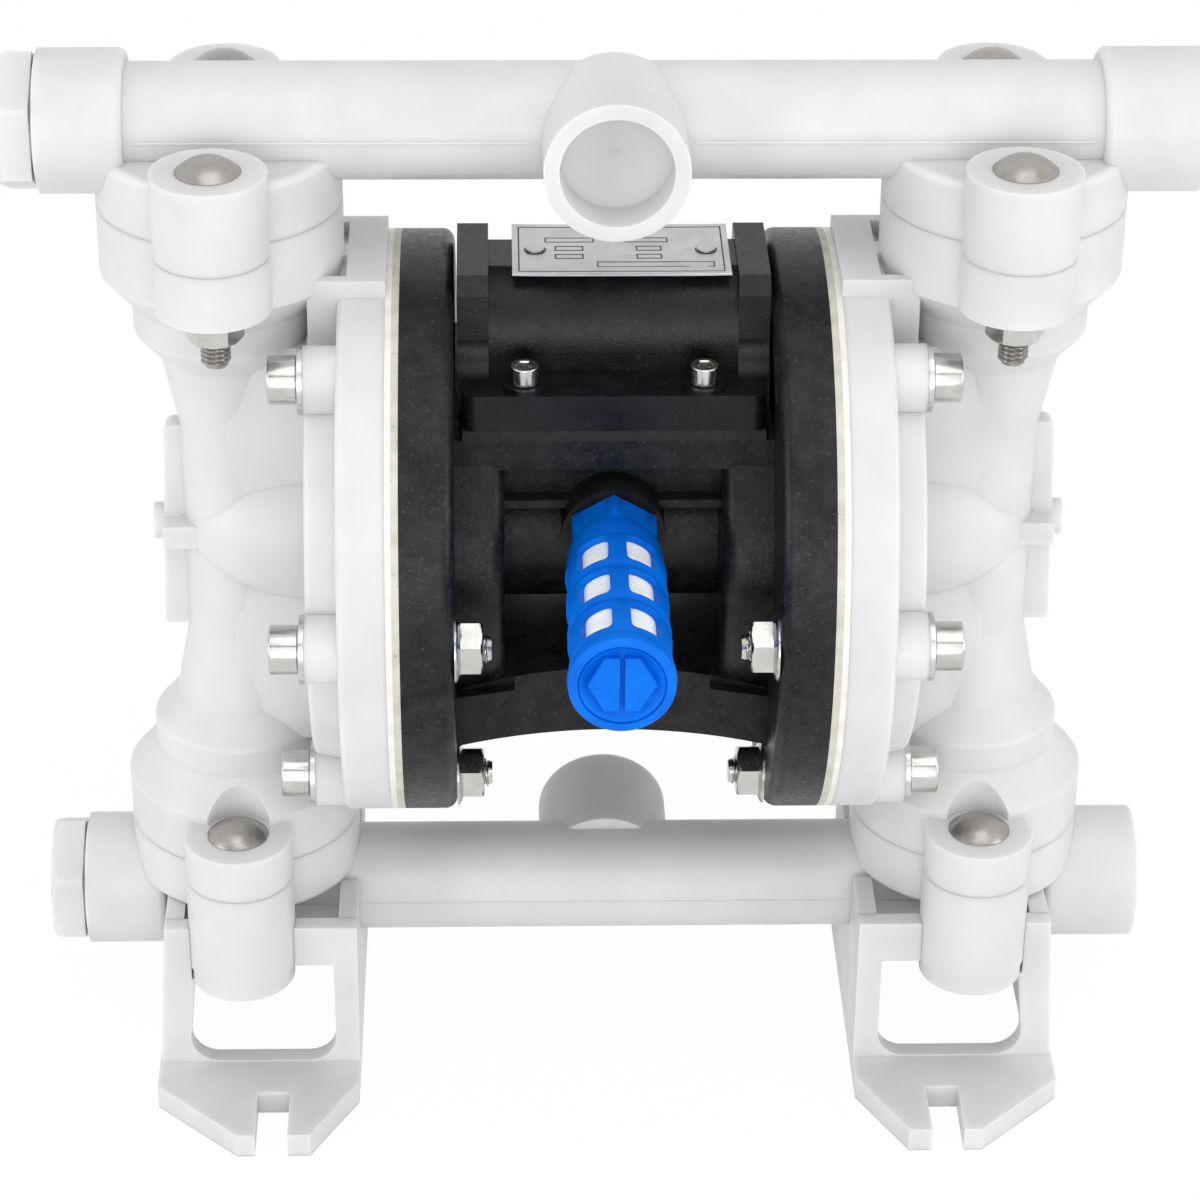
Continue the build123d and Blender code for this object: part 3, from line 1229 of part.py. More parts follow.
def assemble():
    """Every piece by its name; a list holds the loose solids of one name."""
    nodes = {
        "center_body": center_body(),
        "diaphragm_shaft": diaphragm_shaft(),
        "valve_body": valve_body(),
        "valve_gasket": valve_gasket(),
        "valve_sleeve": valve_sleeve(),
        "valve_spool": valve_spool(),
        "spool_seals": spool_seals(),
        "valve_plug_seals": [valve_plug_seal(), mirrored(valve_plug_seal())],
        "valve_screws": [valve_screw(x, y) for x, y in SCREW_PLACES],
        "valve_screw_washers": [valve_screw_washer(x, y) for x, y in SCREW_PLACES],
        "name_plate": name_plate(),
        "name_plate_rivets": [rivet(x) for x in rivet_places()],
        "muffler_body": muffler_body(),
        "muffler_element": muffler_element(),
        "outlet_manifold": outlet_manifold(),
        "inlet_manifold": inlet_manifold(),
        "outlet_plug": Pos(0, 0, MANIFOLD_Z) * blanking_plug(),
        "inlet_plug": Pos(0, 0, -MANIFOLD_Z) * blanking_plug(),
        "plug_seals": [Pos(0, 0, z) * plug_seal() for z in (-MANIFOLD_Z, MANIFOLD_Z)],
    }
    paired = {
        "shaft_bush": shaft_bush(),
        "shaft_seal": shaft_seal(),
        "inner_plate": inner_plate(),
        "outer_plate": outer_plate(),
        "backup_diaphragm": diaphragm(RUBBER_X, RUBBER_THICKNESS, FOLD_RISE),
        "diaphragm": diaphragm(PTFE_X, PTFE_THICKNESS, FOLD_RISE + LOOSE_GAP),
        "chamber": chamber(),
        "foot": [foot_frame(), mirror(foot_frame(), about=Plane.XZ)],
        "foot_walls": foot_walls(),
        "valve_end_plug": valve_end_plug(),
        "outlet_ball": Pos(PORT_X, 0, UPPER_BALL_Z) * Sphere(BALL_RADIUS),
        "inlet_ball": Pos(PORT_X, 0, LOWER_BALL_Z) * Sphere(BALL_RADIUS),
        "outlet_seat": Pos(PORT_X, 0, UPPER_SEAT_Z) * valve_seat(),
        "inlet_seat": Pos(PORT_X, 0, LOWER_SEAT_Z) * valve_seat(),
        "chamber_bolts": [chamber_bolt(angle) for angle in BOLT_ANGLES],
        "chamber_washers": [chamber_washer(angle) for angle in BOLT_ANGLES],
        "chamber_nuts": [chamber_nut(angle) for angle in BOLT_ANGLES],
    }
    for name, piece in paired.items():
        pieces = piece if isinstance(piece, list) else [piece]
        right = list(pieces)
        left = [mirrored(one) for one in pieces]
        nodes[name + "_right"] = right
        nodes[name + "_left"] = left
    ring = seat_ring()
    nodes["outlet_seat_rings"] = [Pos(x, 0, UPPER_SEAT_Z) * ring for x in (-PORT_X, PORT_X)]
    nodes["inlet_seat_rings"] = [Pos(x, 0, LOWER_SEAT_Z) * ring for x in (-PORT_X, PORT_X)]
    outlet_head = UPPER_JOINT_Z + UPPER_MANIFOLD_EAR
    inlet_head = -LOWER_JOINT_Z + LOWER_CHAMBER_EAR
    washer_top = UPPER_JOINT_Z - UPPER_CHAMBER_EAR
    outlet_nut_top = washer_top - FLANGE_WASHER_THICKNESS
    inlet_nut_top = -LOWER_JOINT_Z - LOWER_MANIFOLD_EAR + NUT_POCKET_DEPTH
    nodes["outlet_flange_bolts"] = [dome_bolt(outlet_head, OUTLET_BOLT_LENGTH, *p) for p in EAR_PLACES]
    nodes["outlet_flange_washers"] = [flange_washer(washer_top, *p) for p in EAR_PLACES]
    nodes["outlet_flange_nuts"] = [plain_nut(outlet_nut_top, *p) for p in EAR_PLACES]
    nodes["inlet_flange_bolts"] = [dome_bolt(inlet_head, INLET_BOLT_LENGTH, *p) for p in EAR_PLACES]
    nodes["inlet_flange_nuts"] = [plain_nut(inlet_nut_top, *p) for p in EAR_PLACES]
    return nodes


def write_parts(nodes):
    """One STEP file for each name, lifted so that the soles stand on the floor."""
    os.makedirs("parts", exist_ok=True)
    lift = Pos(0, 0, AXIS_HEIGHT)
    for name, piece in nodes.items():
        pieces = piece if isinstance(piece, list) else [piece]
        solids = [solid for one in pieces for solid in (lift * one).solids()]
        shape = solids[0] if len(solids) == 1 else Compound(children=solids)
        shape.label = name
        export_step(shape, "parts/" + name + ".step")
        print(name, len(solids))


write_parts(assemble())
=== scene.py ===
# %% [markdown]
# # An air operated diaphragm pump
# The pump is already solid and true to size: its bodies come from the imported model. Blender's
# job here is its looks, which are milky polypropylene, matt black plastic, bright stainless
# steel and one blue silencer, together with the small shapes that a machine drawing leaves
# out, such as threads, knurling and nut chamfers.

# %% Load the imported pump
import math
import bmesh
import bpy
import numpy as np
from mathutils import Matrix, Vector


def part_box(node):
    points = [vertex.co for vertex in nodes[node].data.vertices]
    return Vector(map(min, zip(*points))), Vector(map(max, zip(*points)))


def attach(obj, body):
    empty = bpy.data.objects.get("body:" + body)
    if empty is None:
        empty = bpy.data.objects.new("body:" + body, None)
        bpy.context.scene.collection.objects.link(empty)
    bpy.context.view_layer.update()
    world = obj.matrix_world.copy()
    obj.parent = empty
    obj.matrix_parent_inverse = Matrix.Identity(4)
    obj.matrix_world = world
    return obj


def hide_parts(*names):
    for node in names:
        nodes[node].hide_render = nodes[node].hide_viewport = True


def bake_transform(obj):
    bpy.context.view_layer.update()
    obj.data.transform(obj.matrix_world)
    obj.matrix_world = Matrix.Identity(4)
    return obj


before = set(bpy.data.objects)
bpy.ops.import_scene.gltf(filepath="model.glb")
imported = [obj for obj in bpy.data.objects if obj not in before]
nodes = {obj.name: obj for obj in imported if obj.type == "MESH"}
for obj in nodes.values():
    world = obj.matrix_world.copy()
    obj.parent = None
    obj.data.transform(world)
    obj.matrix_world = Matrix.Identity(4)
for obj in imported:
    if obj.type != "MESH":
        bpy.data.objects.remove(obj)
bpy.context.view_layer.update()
MM = 0.001
AXIS_HEIGHT = 124.0
print("loaded", len(nodes), "nodes")

# %% [markdown]
# ## Camera
# The photograph is taken from well above the pump, nearly straight on, with a long lens.
# The camera stands on the line that starts at a target near the shaft and climbs 30 degrees.
# Its three axes are worked out from the view's elevation, its small turn to one side and a
# slight roll, and they become the columns of the camera's matrix.

# %% Camera
bpy.context.scene.view_settings.view_transform = "Standard"
VIEW_ELEVATION = math.radians(30.18)
VIEW_TURN = math.radians(1.823)
VIEW_ROLL = math.radians(0.616)
VIEW_DISTANCE = 809.7 * MM
TARGET = Vector((-1.68, 0.0, AXIS_HEIGHT - 20.0)) * MM
SENSOR_WIDTH = 36.0
FRAME_PIXELS, FOCAL_PIXELS = 1200, 3811
FOCAL_LENGTH = FOCAL_PIXELS / FRAME_PIXELS * SENSOR_WIDTH


def make_camera():
    """A camera whose matrix columns are right, up and backwards, rolled about its view line."""
    level_part = math.cos(VIEW_ELEVATION)
    forward = Vector((math.sin(VIEW_TURN) * level_part, math.cos(VIEW_TURN) * level_part,
                      -math.sin(VIEW_ELEVATION)))
    level = Vector((math.cos(VIEW_TURN), -math.sin(VIEW_TURN), 0))
    upright = level.cross(forward)
    right = math.cos(VIEW_ROLL) * level + math.sin(VIEW_ROLL) * upright
    up = math.cos(VIEW_ROLL) * upright - math.sin(VIEW_ROLL) * level
    data = bpy.data.cameras.new("camera")
    data.sensor_width = SENSOR_WIDTH
    data.lens = FOCAL_LENGTH
    camera = bpy.data.objects.new("camera", data)
    place = Matrix((right, up, -forward)).transposed().to_4x4()
    place.translation = TARGET - forward * VIEW_DISTANCE
    camera.matrix_world = place
    bpy.context.collection.objects.link(camera)
    bpy.context.scene.camera = camera


make_camera()

# %% [markdown]
# ## Colours and material nodes
# Colours are written as a screen shows them, and one function turns them into the linear
# values that the shader works with. One more function adds a node, so that each recipe
# below reads as a short list of what the surface is made of.

# %% Helpers for materials
def linear(colour):
    """Linear RGBA of an sRGB hex colour: c / 12.92 near black, else ((c + 0.055) / 1.055) ^ 2.4."""
    channels = np.array([int(colour[i:i + 2], 16) / 255 for i in (0, 2, 4)])
    curve = np.where(channels <= 0.04045, channels / 12.92, ((channels + 0.055) / 1.055) ** 2.4)
    return (*curve.tolist(), 1.0)


def add(tree, kind, values=None, links=None, **settings):
    """Adds a node, sets its properties and sockets, and joins its inputs to other outputs."""
    node = tree.nodes.new(kind)
    for name, value in settings.items():
        setattr(node, name, value)
    for socket, value in (values or {}).items():
        node.inputs[socket].default_value = value
    for socket, source in (links or {}).items():
        tree.links.new(source, node.inputs[socket])
    return node


def per_mm(size):
    """The scale of a pattern, on coordinates in metres, whose features are size mm across."""
    return 1000.0 / size


def new_material(name):
    """An empty node material and its tree."""
    material = bpy.data.materials.new(name)
    material.use_nodes = True
    material.node_tree.nodes.clear()
    return material, material.node_tree


# %% [markdown]
# ## Moulded plastics and rubbers
# A moulded surface is a slightly cloudy colour, with a fine unevenness left by the mould.
# Two noises are enough: a wide one shifts the colour and the gloss a little, and a fine one
# drives the bump. Specks are a third noise, cut off so that only its peaks show.

# %% Recipe for a moulded material
COLOUR_A, COLOUR_B, COLOUR_OUT = 6, 7, 2  # the colour sockets of a Mix node
SPECK_EDGE = 0.14
NOISE_MIDDLE = (0.3, 0.7)  # most of a noise's values lie between these


def object_place(tree, stretch=(1, 1, 1)):
    """Object coordinates in metres, stretched along each axis."""
    place = add(tree, "ShaderNodeTexCoord").outputs["Object"]
    return add(tree, "ShaderNodeMapping", {"Scale": stretch}, {"Vector": place}).outputs["Vector"]


def noise(tree, place, size_mm, detail=3.0, rough=0.5):
    """A noise whose features are size_mm across."""
    values = {"Scale": per_mm(size_mm), "Detail": detail, "Roughness": rough}
    return add(tree, "ShaderNodeTexNoise", values, {"Vector": place}).outputs["Fac"]


def ramp(tree, source, start, end, low=0.0, high=1.0):
    """Carries start..end of a value to low..high, held at both ends."""
    values = {"From Min": start, "From Max": end, "To Min": low, "To Max": high}
    return add(tree, "ShaderNodeMapRange", values, {"Value": source}).outputs["Result"]


def blend_colour(tree, share, first, second):
    """Mixes two colours, each a hex value or an output, by share."""
    values, links = {}, {"Factor": share}
    for socket, colour in ((COLOUR_A, first), (COLOUR_B, second)):
        if isinstance(colour, str):
            values[socket] = linear(colour)
        else:
            links[socket] = colour
    return add(tree, "ShaderNodeMix", values, links, data_type="RGBA").outputs[COLOUR_OUT]


def lift(tree, height, depth_mm, below=None):
    """Bump of depth_mm from a height value, on top of another bump."""
    links = {"Height": height}
    if below is not None:
        links["Normal"] = below
    return add(tree, "ShaderNodeBump", {"Distance": depth_mm * MM}, links).outputs["Normal"]


def close(tree, colour, roughness, normal, **shader):
    """Ends a tree with the shader and the output node."""
    values = {socket.replace("_", " "): value for socket, value in shader.items()}
    links = {"Base Color": colour, "Roughness": roughness, "Normal": normal}
    surface = add(tree, "ShaderNodeBsdfPrincipled", values, links)
    add(tree, "ShaderNodeOutputMaterial", links={"Surface": surface.outputs["BSDF"]})


def moulded(name, dark, light, cloud_mm, grain_mm, grain_height, rough, speck=None, speck_mm=0.8,
            speck_from=0.6, **shader):
    """Cloud noise mixes dark and light, peaks of a speck noise show the speck colour, and a
    grain noise lifts the surface by grain_height mm. rough is (lowest, highest)."""
    material, tree = new_material(name)
    place = object_place(tree)
    cloud = ramp(tree, noise(tree, place, cloud_mm, detail=4.0), *NOISE_MIDDLE)
    colour = blend_colour(tree, cloud, dark, light)
    grain = noise(tree, place, grain_mm)
    if speck:
        spots = noise(tree, place, speck_mm, detail=5.0, rough=0.65)
        peaks = ramp(tree, spots, speck_from, speck_from + SPECK_EDGE)
        colour = blend_colour(tree, peaks, colour, speck)
    gloss = ramp(tree, noise(tree, place, cloud_mm / 3), *NOISE_MIDDLE, *rough)
    close(tree, colour, gloss, lift(tree, grain, grain_height), **shader)
    return material


# %% [markdown]
# The wet end is natural polypropylene: milky, a little see-through and softly glossy. Light
# enters it and comes out some millimetres away, which lifts its shadows, so it gets
# subsurface scattering. Its mould leaves faint flow marks a few centimetres wide.

# %% Natural polypropylene
natural_pp = moulded(
    "natural polypropylene, injection moulded", "CECECF", "D6D6D7", 14.0, 0.9, 0.02, (0.32, 0.46),
    Subsurface_Weight=0.6, Subsurface_Radius=(1.0, 0.99, 0.98), Subsurface_Scale=3.0 * MM,
    IOR=1.49, Specular_IOR_Level=0.35)

# %% [markdown]
# The thin beads and threads on those mouldings are of the same plastic, but too thin for
# light to travel inside them.

# %% Natural polypropylene, thin
thin_pp = moulded("natural polypropylene, thin bead", "CDCDCD", "D5D4D5", 14.0, 0.9, 0.02,
                  (0.32, 0.46), IOR=1.49)

# %% [markdown]
# The centre section is black polypropylene from a spark-eroded mould, so it is matt with a
# fine leathery grain, greyish where the mould wore it, and a few pale specks of dust show.

# %% Black polypropylene
black_pp = moulded(
    "black polypropylene, spark-eroded mould", "0A0A0B", "222224", 4.0, 0.45, 0.09, (0.26, 0.44),
    speck="424244", speck_mm=0.7, speck_from=0.58, IOR=1.49, Specular_IOR_Level=0.24)
valve_pp = moulded(
    "black polypropylene, satin moulded", "08080A", "19191B", 5.0, 0.5, 0.08, (0.24, 0.38),
    speck="343435", speck_mm=1.0, speck_from=0.6, IOR=1.49, Specular_IOR_Level=0.26)

# %% [markdown]
# The silencer is moulded in bright blue polyethylene with a soft gloss, over a core of
# sintered polyethylene: small beads fused together, chalk white with open pores.

# %% Silencer plastics
blue_pe = moulded(
    "blue polyethylene, injection moulded", "005CC8", "006EDC", 8.0, 0.8, 0.03, (0.36, 0.48),
    IOR=1.51, Specular_IOR_Level=0.1)
sintered_pe = moulded(
    "sintered polyethylene, porous", "E6E8EA", "F6F7F8", 3.0, 0.35, 0.12, (0.8, 0.95),
    speck="C6CACE", speck_mm=0.5, speck_from=0.6, IOR=1.51)

# %% [markdown]
# Between the black discs and the white chambers the edges of the diaphragms show: a skived
# PTFE sheet outside, slightly yellow with black dust in it, and a cream rubber sheet behind.

# %% Diaphragm sheets and seals
ptfe = moulded("PTFE sheet, skived", "D8D6CC", "E9E8E0", 5.0, 0.5, 0.03, (0.4, 0.55),
               speck="8E8C86", speck_mm=0.9, speck_from=0.66, IOR=1.35)
cream_rubber = moulded("cream rubber, pressed sheet", "B9B6AA", "CECBC0", 4.0, 0.5, 0.05,
                       (0.6, 0.75), speck="55534E", speck_mm=0.9, speck_from=0.62)
black_rubber = moulded("nitrile rubber, pressed", "0E0E0E", "1A1A1A", 4.0, 0.4, 0.04, (0.6, 0.8))

# %% [markdown]
# ## Metals
# A metal's colour is its reflection, so all the work is in the gloss and the bump. Brushed
# and rolled metal has scratches that are long one way: a noise stretched along that way.

# %% Recipe for a metal
TARNISH_MM, TARNISH_RANGE = 5.0, (0.35, 0.75)


def metal(name, tint, worn, line_mm, stretch, line_height, rough):
    """A noise squeezed across the brushing and stretched along it gives the scratches. It
    sets the gloss, from rough[0] to rough[1], and lifts the surface by line_height mm."""
    material, tree = new_material(name)
    scratches = noise(tree, object_place(tree, stretch), line_mm, detail=5.0, rough=0.6)
    tarnish = ramp(tree, noise(tree, object_place(tree), TARNISH_MM), *TARNISH_RANGE)
    colour = blend_colour(tree, tarnish, tint, worn)
    gloss = ramp(tree, scratches, *NOISE_MIDDLE, *rough)
    close(tree, colour, gloss, lift(tree, scratches, line_height), Metallic=1.0)
    return material


EVEN = (1, 1, 1)
polished_steel = metal("stainless steel, cold headed", "D2D1CE", "BDBCB8", 0.5, EVEN, 0.006,
                       (0.14, 0.28))
# The dome heads get a darker tint than the other steel. This is painted shade standing in for the
# darker surroundings they reflect; the satin brushing is their own.
satin_steel_painted_shade = metal("stainless steel, satin dome, tint darkened as painted shade", "ABA8A4", "96938F", 0.35, (0.25, 1, 1), 0.012,
                    (0.24, 0.36))
zinc_steel = metal("stainless steel, stamped", "D6D6D6", "BFC0C1", 0.8, EVEN, 0.008, (0.2, 0.34))
plate_metal = metal("aluminium, brushed sheet", "C9CACC", "BABBBE", 0.5, (0.04, 1, 1), 0.006,
                    (0.34, 0.5))
turned_aluminium = metal("aluminium, turned", "CFD0D1", "C0C1C3", 0.4, (1, 0.3, 0.3), 0.006,
                         (0.25, 0.4))
bronze = metal("sintered bronze", "B08A4E", "96733C", 0.5, EVEN, 0.03, (0.4, 0.6))

# %% [markdown]
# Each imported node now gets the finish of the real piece. The nodes on the left and the
# right share a name, so one table of name beginnings for each material covers them all.

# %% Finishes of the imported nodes
STARTS = {
    black_pp: ("center_body",),
    valve_pp: ("valve_body", "valve_end_plug", "valve_screw_washers"),
    black_rubber: ("valve_gasket", "spool_seals", "valve_plug_seals", "shaft_seal"),
    blue_pe: ("muffler_body",),
    sintered_pe: ("muffler_element",),
    polished_steel: ("diaphragm_shaft", "outlet_flange", "inlet_flange", "chamber_bolts",
                     "chamber_nuts", "valve_screws"),
    bronze: ("shaft_bush",),
    turned_aluminium: ("inner_plate", "valve_sleeve", "valve_spool"),
    cream_rubber: ("backup_diaphragm",),
    ptfe: ("diaphragm_", "outlet_ball", "inlet_ball", "plug_seals", "outlet_seat_rings",
           "inlet_seat_rings"),
    plate_metal: ("name_plate",),
    zinc_steel: ("chamber_washers", "outlet_flange_washers"),
}
FINISHES = {start: material for material, starts in STARTS.items() for start in starts}


def finish_of(node):
    """The finish with the longest name beginning that fits, or else natural polypropylene."""
    fitting = [start for start in FINISHES if node.startswith(start)]
    return FINISHES[max(fitting, key=len)] if fitting else natural_pp


for name, node in nodes.items():
    node.data.materials.clear()
    node.data.materials.append(finish_of(name))
    node.data.polygons.foreach_set("material_index", np.zeros(len(node.data.polygons), np.int32))

# %% [markdown]
# ## Surfaces from grids
# Every new piece is a grid of points worked out with numpy. The rows go along the piece and
# the columns go round it. Quads join neighbours, and a fan closes each open end. Copies of
# a piece, such as four bolts, are the same grid turned and moved, in one mesh.

# %% Helpers for grids
def grid_faces(rows, columns):
    """Quads between the points of a grid, whose last column joins its first."""
    index = np.arange(rows * columns).reshape(rows, columns)
    beside = np.roll(index, -1, axis=1)
    return np.stack([index[:-1], beside[:-1], beside[1:], index[1:]], axis=-1).reshape(-1, 4)


def copies(points, places):
    """A grid's points carried to each place, a 4 x 4 matrix: turned by its 3 x 3, then moved."""
    turns = np.array([np.array(place)[:3, :3] for place in places])
    moves = np.array([np.array(place)[:3, 3] for place in places])
    return np.einsum("kij,rcj->krci", turns, points) + moves[:, None, None, :]


def add_piece(name, grids, material, replaced=(), sharp=30.0, rigid=True):
    """One mesh from grids in millimetres, each (copies, rows, columns, 3). A rigid one rides
    on the pump."""
    points, faces, start = [], [], 0
    for grid in grids:
        count, rows, columns = grid.shape[:3]
        quads = grid_faces(rows, columns)
        shifts = start + np.arange(count)[:, None, None] * rows * columns
        faces.append((quads[None] + shifts).reshape(-1, 4))
        points.append(grid.reshape(-1, 3))
        start += count * rows * columns
    mesh = bpy.data.meshes.new(name)
    mesh.from_pydata((np.concatenate(points) * MM).tolist(), [], np.concatenate(faces).tolist())
    piece = bpy.data.objects.new(name, mesh)
    bpy.context.collection.objects.link(piece)
    tidy_mesh(mesh)
    mesh.materials.append(material)
    mesh.shade_smooth()
    mesh.set_sharp_from_angle(angle=math.radians(sharp))
    if rigid:
        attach(piece, "pump")
    if replaced:
        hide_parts(*replaced)
    print("made", name, len(mesh.polygons), "faces")
    return piece


def tidy_mesh(mesh):
    """Merges the points that fall together, at poles and seams, and points all faces outwards."""
    work = bmesh.new()
    work.from_mesh(mesh)
    bmesh.ops.remove_doubles(work, verts=work.verts, dist=1e-7)
    bmesh.ops.dissolve_degenerate(work, edges=work.edges, dist=1e-8)
    bmesh.ops.recalc_face_normals(work, faces=work.faces)
    work.to_mesh(mesh)
    work.free()


def facing(out, corner, at):
    """The place at `at` whose z axis points out and whose x axis points at the corner."""
    out, corner = Vector(out), Vector(corner)
    place = Matrix((corner, out.cross(corner), out)).transposed().to_4x4()
    place.translation = Vector(at)
    return place


# %% [markdown]
# ## Fasteners
# Bolts, screws and nuts are turned shapes: a ring of points for each height, whose radius
# may change round the ring. A hexagon is a ring whose radius is the distance to its sides,
# and a thread is a shank whose radius goes up and down with the height and the turn. The
# chamfer of a nut is the smaller of its hexagon and a cone, which gives the curved corners
# that a real nut shows.

# %% Turned shapes
SEGMENTS = 72
TURN = np.linspace(0, 2 * math.pi, SEGMENTS, endpoint=False)


def turned(rings):
    """x = r cos t, y = r sin t, z = h for a list of (h, r), r being a number or one per point."""
    heights = np.array([height for height, _ in rings], float)[:, None] * np.ones(SEGMENTS)
    radii = np.array([radius * np.ones(SEGMENTS) for _, radius in rings])
    return np.stack([radii * np.cos(TURN), radii * np.sin(TURN), heights], axis=-1)


def hexagon(across):
    """Half the width over the cosine of the angle to the nearest side; a corner is at t = 0."""
    return across / 2 / np.cos(np.mod(TURN, math.pi / 3) - math.pi / 6)


THREAD_DEPTH = 0.61  # of the pitch
RINGS_PER_TURN = 8
WAVE_GAIN, CREST_WIDTH = 1.35, 0.2
TIP_LENGTH = 0.8  # of the pitch
TIP_ROOT, TIP_END = 0.86, 0.76  # of the radius


def thread(radius, pitch, top, bottom):
    """Rings down a thread: the radius less the thread depth times a wave that climbs one
    pitch a turn, 0 on the crests and 1 in the roots, fading in over the first turn."""
    heights = np.arange(top, bottom, -pitch / RINGS_PER_TURN)
    wave = np.abs(2 * np.mod(heights[:, None] / pitch - TURN / (2 * math.pi), 1) - 1)
    depth = THREAD_DEPTH * pitch * np.clip((top - heights) / pitch, 0, 1)
    radii = radius - depth[:, None] * np.clip(WAVE_GAIN * wave - CREST_WIDTH, 0, 1)
    return list(zip(heights, radii))


def shank(radius, pitch, length, threaded):
    """Rings from under the head to the chamfered tip, threaded over its last part."""
    start, end = threaded - length, TIP_LENGTH * pitch - length
    tip = [(end, TIP_ROOT * radius), (-length, TIP_END * radius), (-length, 0)]
    return [(0, radius), (start, radius)] + thread(radius, pitch, start, end) + tip


HEAD_ROUND = 0.09  # of the head's radius
ROUND_ANGLES, DOME_ANGLES = np.linspace(1.57, 0, 5), np.linspace(0, 1.5, 18)
KEY_CONE, KEY_TAPER, KEY_MOUTH, KEY_FLARE = 0.5, 0.98, 0.3, 0.25


def socket_screw(radius, height, key, key_depth, length, threaded, shank_radius, pitch):
    """A cylinder head with a hexagon socket, rounded at its rim, over a threaded shank."""
    edge = HEAD_ROUND * radius
    socket = hexagon(key)
    side = [(height - edge * (1 - math.sin(a)), radius - edge * (1 - math.cos(a)))
            for a in ROUND_ANGLES]
    key_end = height - key_depth
    hole = [(key_end - KEY_CONE, 0), (key_end, KEY_TAPER * socket), (height - KEY_MOUTH, socket),
            (height, socket + KEY_FLARE)]
    head = hole + side + [(edge, radius), (0, radius - edge)]
    return turned(head + shank(shank_radius, pitch, length, threaded))


BOLT_RADIUS, BOLT_PITCH = 3.0, 1.0
DOME_EDGE_HEIGHT, DOME_EDGE_ROUND = 0.12, 0.1


def dome_screw(radius, rise, length, threaded):
    """A low dome, z = sqrt(R^2 - r^2) less the depth of the ball's centre, over a shank."""
    ball = (radius ** 2 + rise ** 2) / (2 * rise)
    reach = radius * np.sin(DOME_ANGLES)
    head = [(math.sqrt(ball ** 2 - r ** 2) - (ball - rise), r) for r in reach]
    head += [(DOME_EDGE_HEIGHT, radius), (0, radius - DOME_EDGE_ROUND)]
    return turned(head + shank(BOLT_RADIUS, BOLT_PITCH, length, threaded))


NUT_FACE = 0.475  # radius of the flat on top, of the width across
CHAMFER_SLOPE, FLANGE_SLOPE = 1.73, 2.2
CHAMFER_STEPS = [0.0, 0.06, 0.15, 0.28, 0.45, 0.7, 1.0]
FLANGE_BLEND, FLANGE_EDGE = 0.9, 0.4
NUT_LEAD = 0.4


def nut(across, height, bore, flange=0.0, flange_height=0.0):
    """Up the bore, over the top and down the sides: the radius is the smaller of the hexagon
    and the chamfer cone, and the larger of that and the flange cone near the seat."""
    sides, face = hexagon(across), NUT_FACE * across
    flange_top = flange_height + FLANGE_BLEND
    levels = [height - step for step in CHAMFER_STEPS]
    levels += list(np.linspace(flange_top, 0, 8)) if flange else CHAMFER_STEPS[::-1]
    rings = [(NUT_LEAD, bore), (height - NUT_LEAD, bore), (height, bore + NUT_LEAD)]
    for level in levels:
        cone = face + (height - level) * CHAMFER_SLOPE
        if not flange:
            cone = min(cone, face + level * CHAMFER_SLOPE)
        outside = np.minimum(sides, cone)
        if flange and level <= flange_top:
            skirt = flange - (level - FLANGE_EDGE * flange_height) * FLANGE_SLOPE
            outside = np.maximum(outside, min(flange, skirt))
        rings.append((level, outside))
    return turned(rings + [(0, bore + NUT_LEAD), (NUT_LEAD, bore)])


# %% [markdown]
# The twelve chamber bolts are M6 cylinder heads, six round each chamber. Their flange nuts
# sit on the black discs, except the two behind the valve, which are plain and sunk.

# %% Chamber bolts and nuts
BOLT_CIRCLE = 53.2
BOLT_ANGLES = (30, 90, 150, 210, 270, 330)
SUNK, SUNK_DEPTH = {30, 330}, 6.4
HEAD_X, DISC_BACK_X = 62.6, 32.0
HEAD_RADIUS, HEAD_HEIGHT, KEY_WIDTH, KEY_DEPTH = 4.9, 6.0, 5.0, 3.0
LONG_TIP_X, SHORT_TIP_X, THREADED = 24.7, 32.3, 16.0
NUT_WIDTH, NUT_BORE = 10.0, BOLT_RADIUS + 0.05
FLANGE_NUT_HEIGHT, FLAT_NUT_HEIGHT = 5.6, 5.0
NUT_FLANGE_RADIUS, NUT_FLANGE_HEIGHT = 6.8, 1.2
UP, RIGHT = (0, 0, 1), (1, 0, 0)
for side, hand in (("left", -1), ("right", 1)):
    bolts, nuts, flat_nuts = [], [], []
    for angle in BOLT_ANGLES:
        turn = math.radians(angle)
        y, z = BOLT_CIRCLE * math.sin(turn), BOLT_CIRCLE * math.cos(turn) + AXIS_HEIGHT
        long_bolt = angle not in SUNK
        bolts.append((long_bolt, facing((hand, 0, 0), UP, (hand * HEAD_X, y, z))))
        seat = DISC_BACK_X if long_bolt else DISC_BACK_X + SUNK_DEPTH
        (nuts if long_bolt else flat_nuts).append(facing((-hand, 0, 0), UP, (hand * seat, y, z)))
    grids = []
    for long_bolt, tip_x in ((True, LONG_TIP_X), (False, SHORT_TIP_X)):
        shape = socket_screw(HEAD_RADIUS, HEAD_HEIGHT, KEY_WIDTH, KEY_DEPTH, HEAD_X - tip_x,
                             THREADED, BOLT_RADIUS, BOLT_PITCH)
        grids.append(copies(shape, [place for kind, place in bolts if kind == long_bolt]))
    add_piece(f"chamber_screws_{side}", grids, polished_steel, [f"chamber_bolts_{side}"])
    flange_nut = nut(NUT_WIDTH, FLANGE_NUT_HEIGHT, NUT_BORE, NUT_FLANGE_RADIUS, NUT_FLANGE_HEIGHT)
    grids = [copies(flange_nut, nuts),
             copies(nut(NUT_WIDTH, FLAT_NUT_HEIGHT, NUT_BORE), flat_nuts)]
    add_piece(f"flange_nuts_{side}", grids, polished_steel, [f"chamber_nuts_{side}"])

# %% [markdown]
# Each manifold is held by four dome-headed M6 bolts through its ears. The nuts of the lower
# four sit in pockets moulded in the manifold.

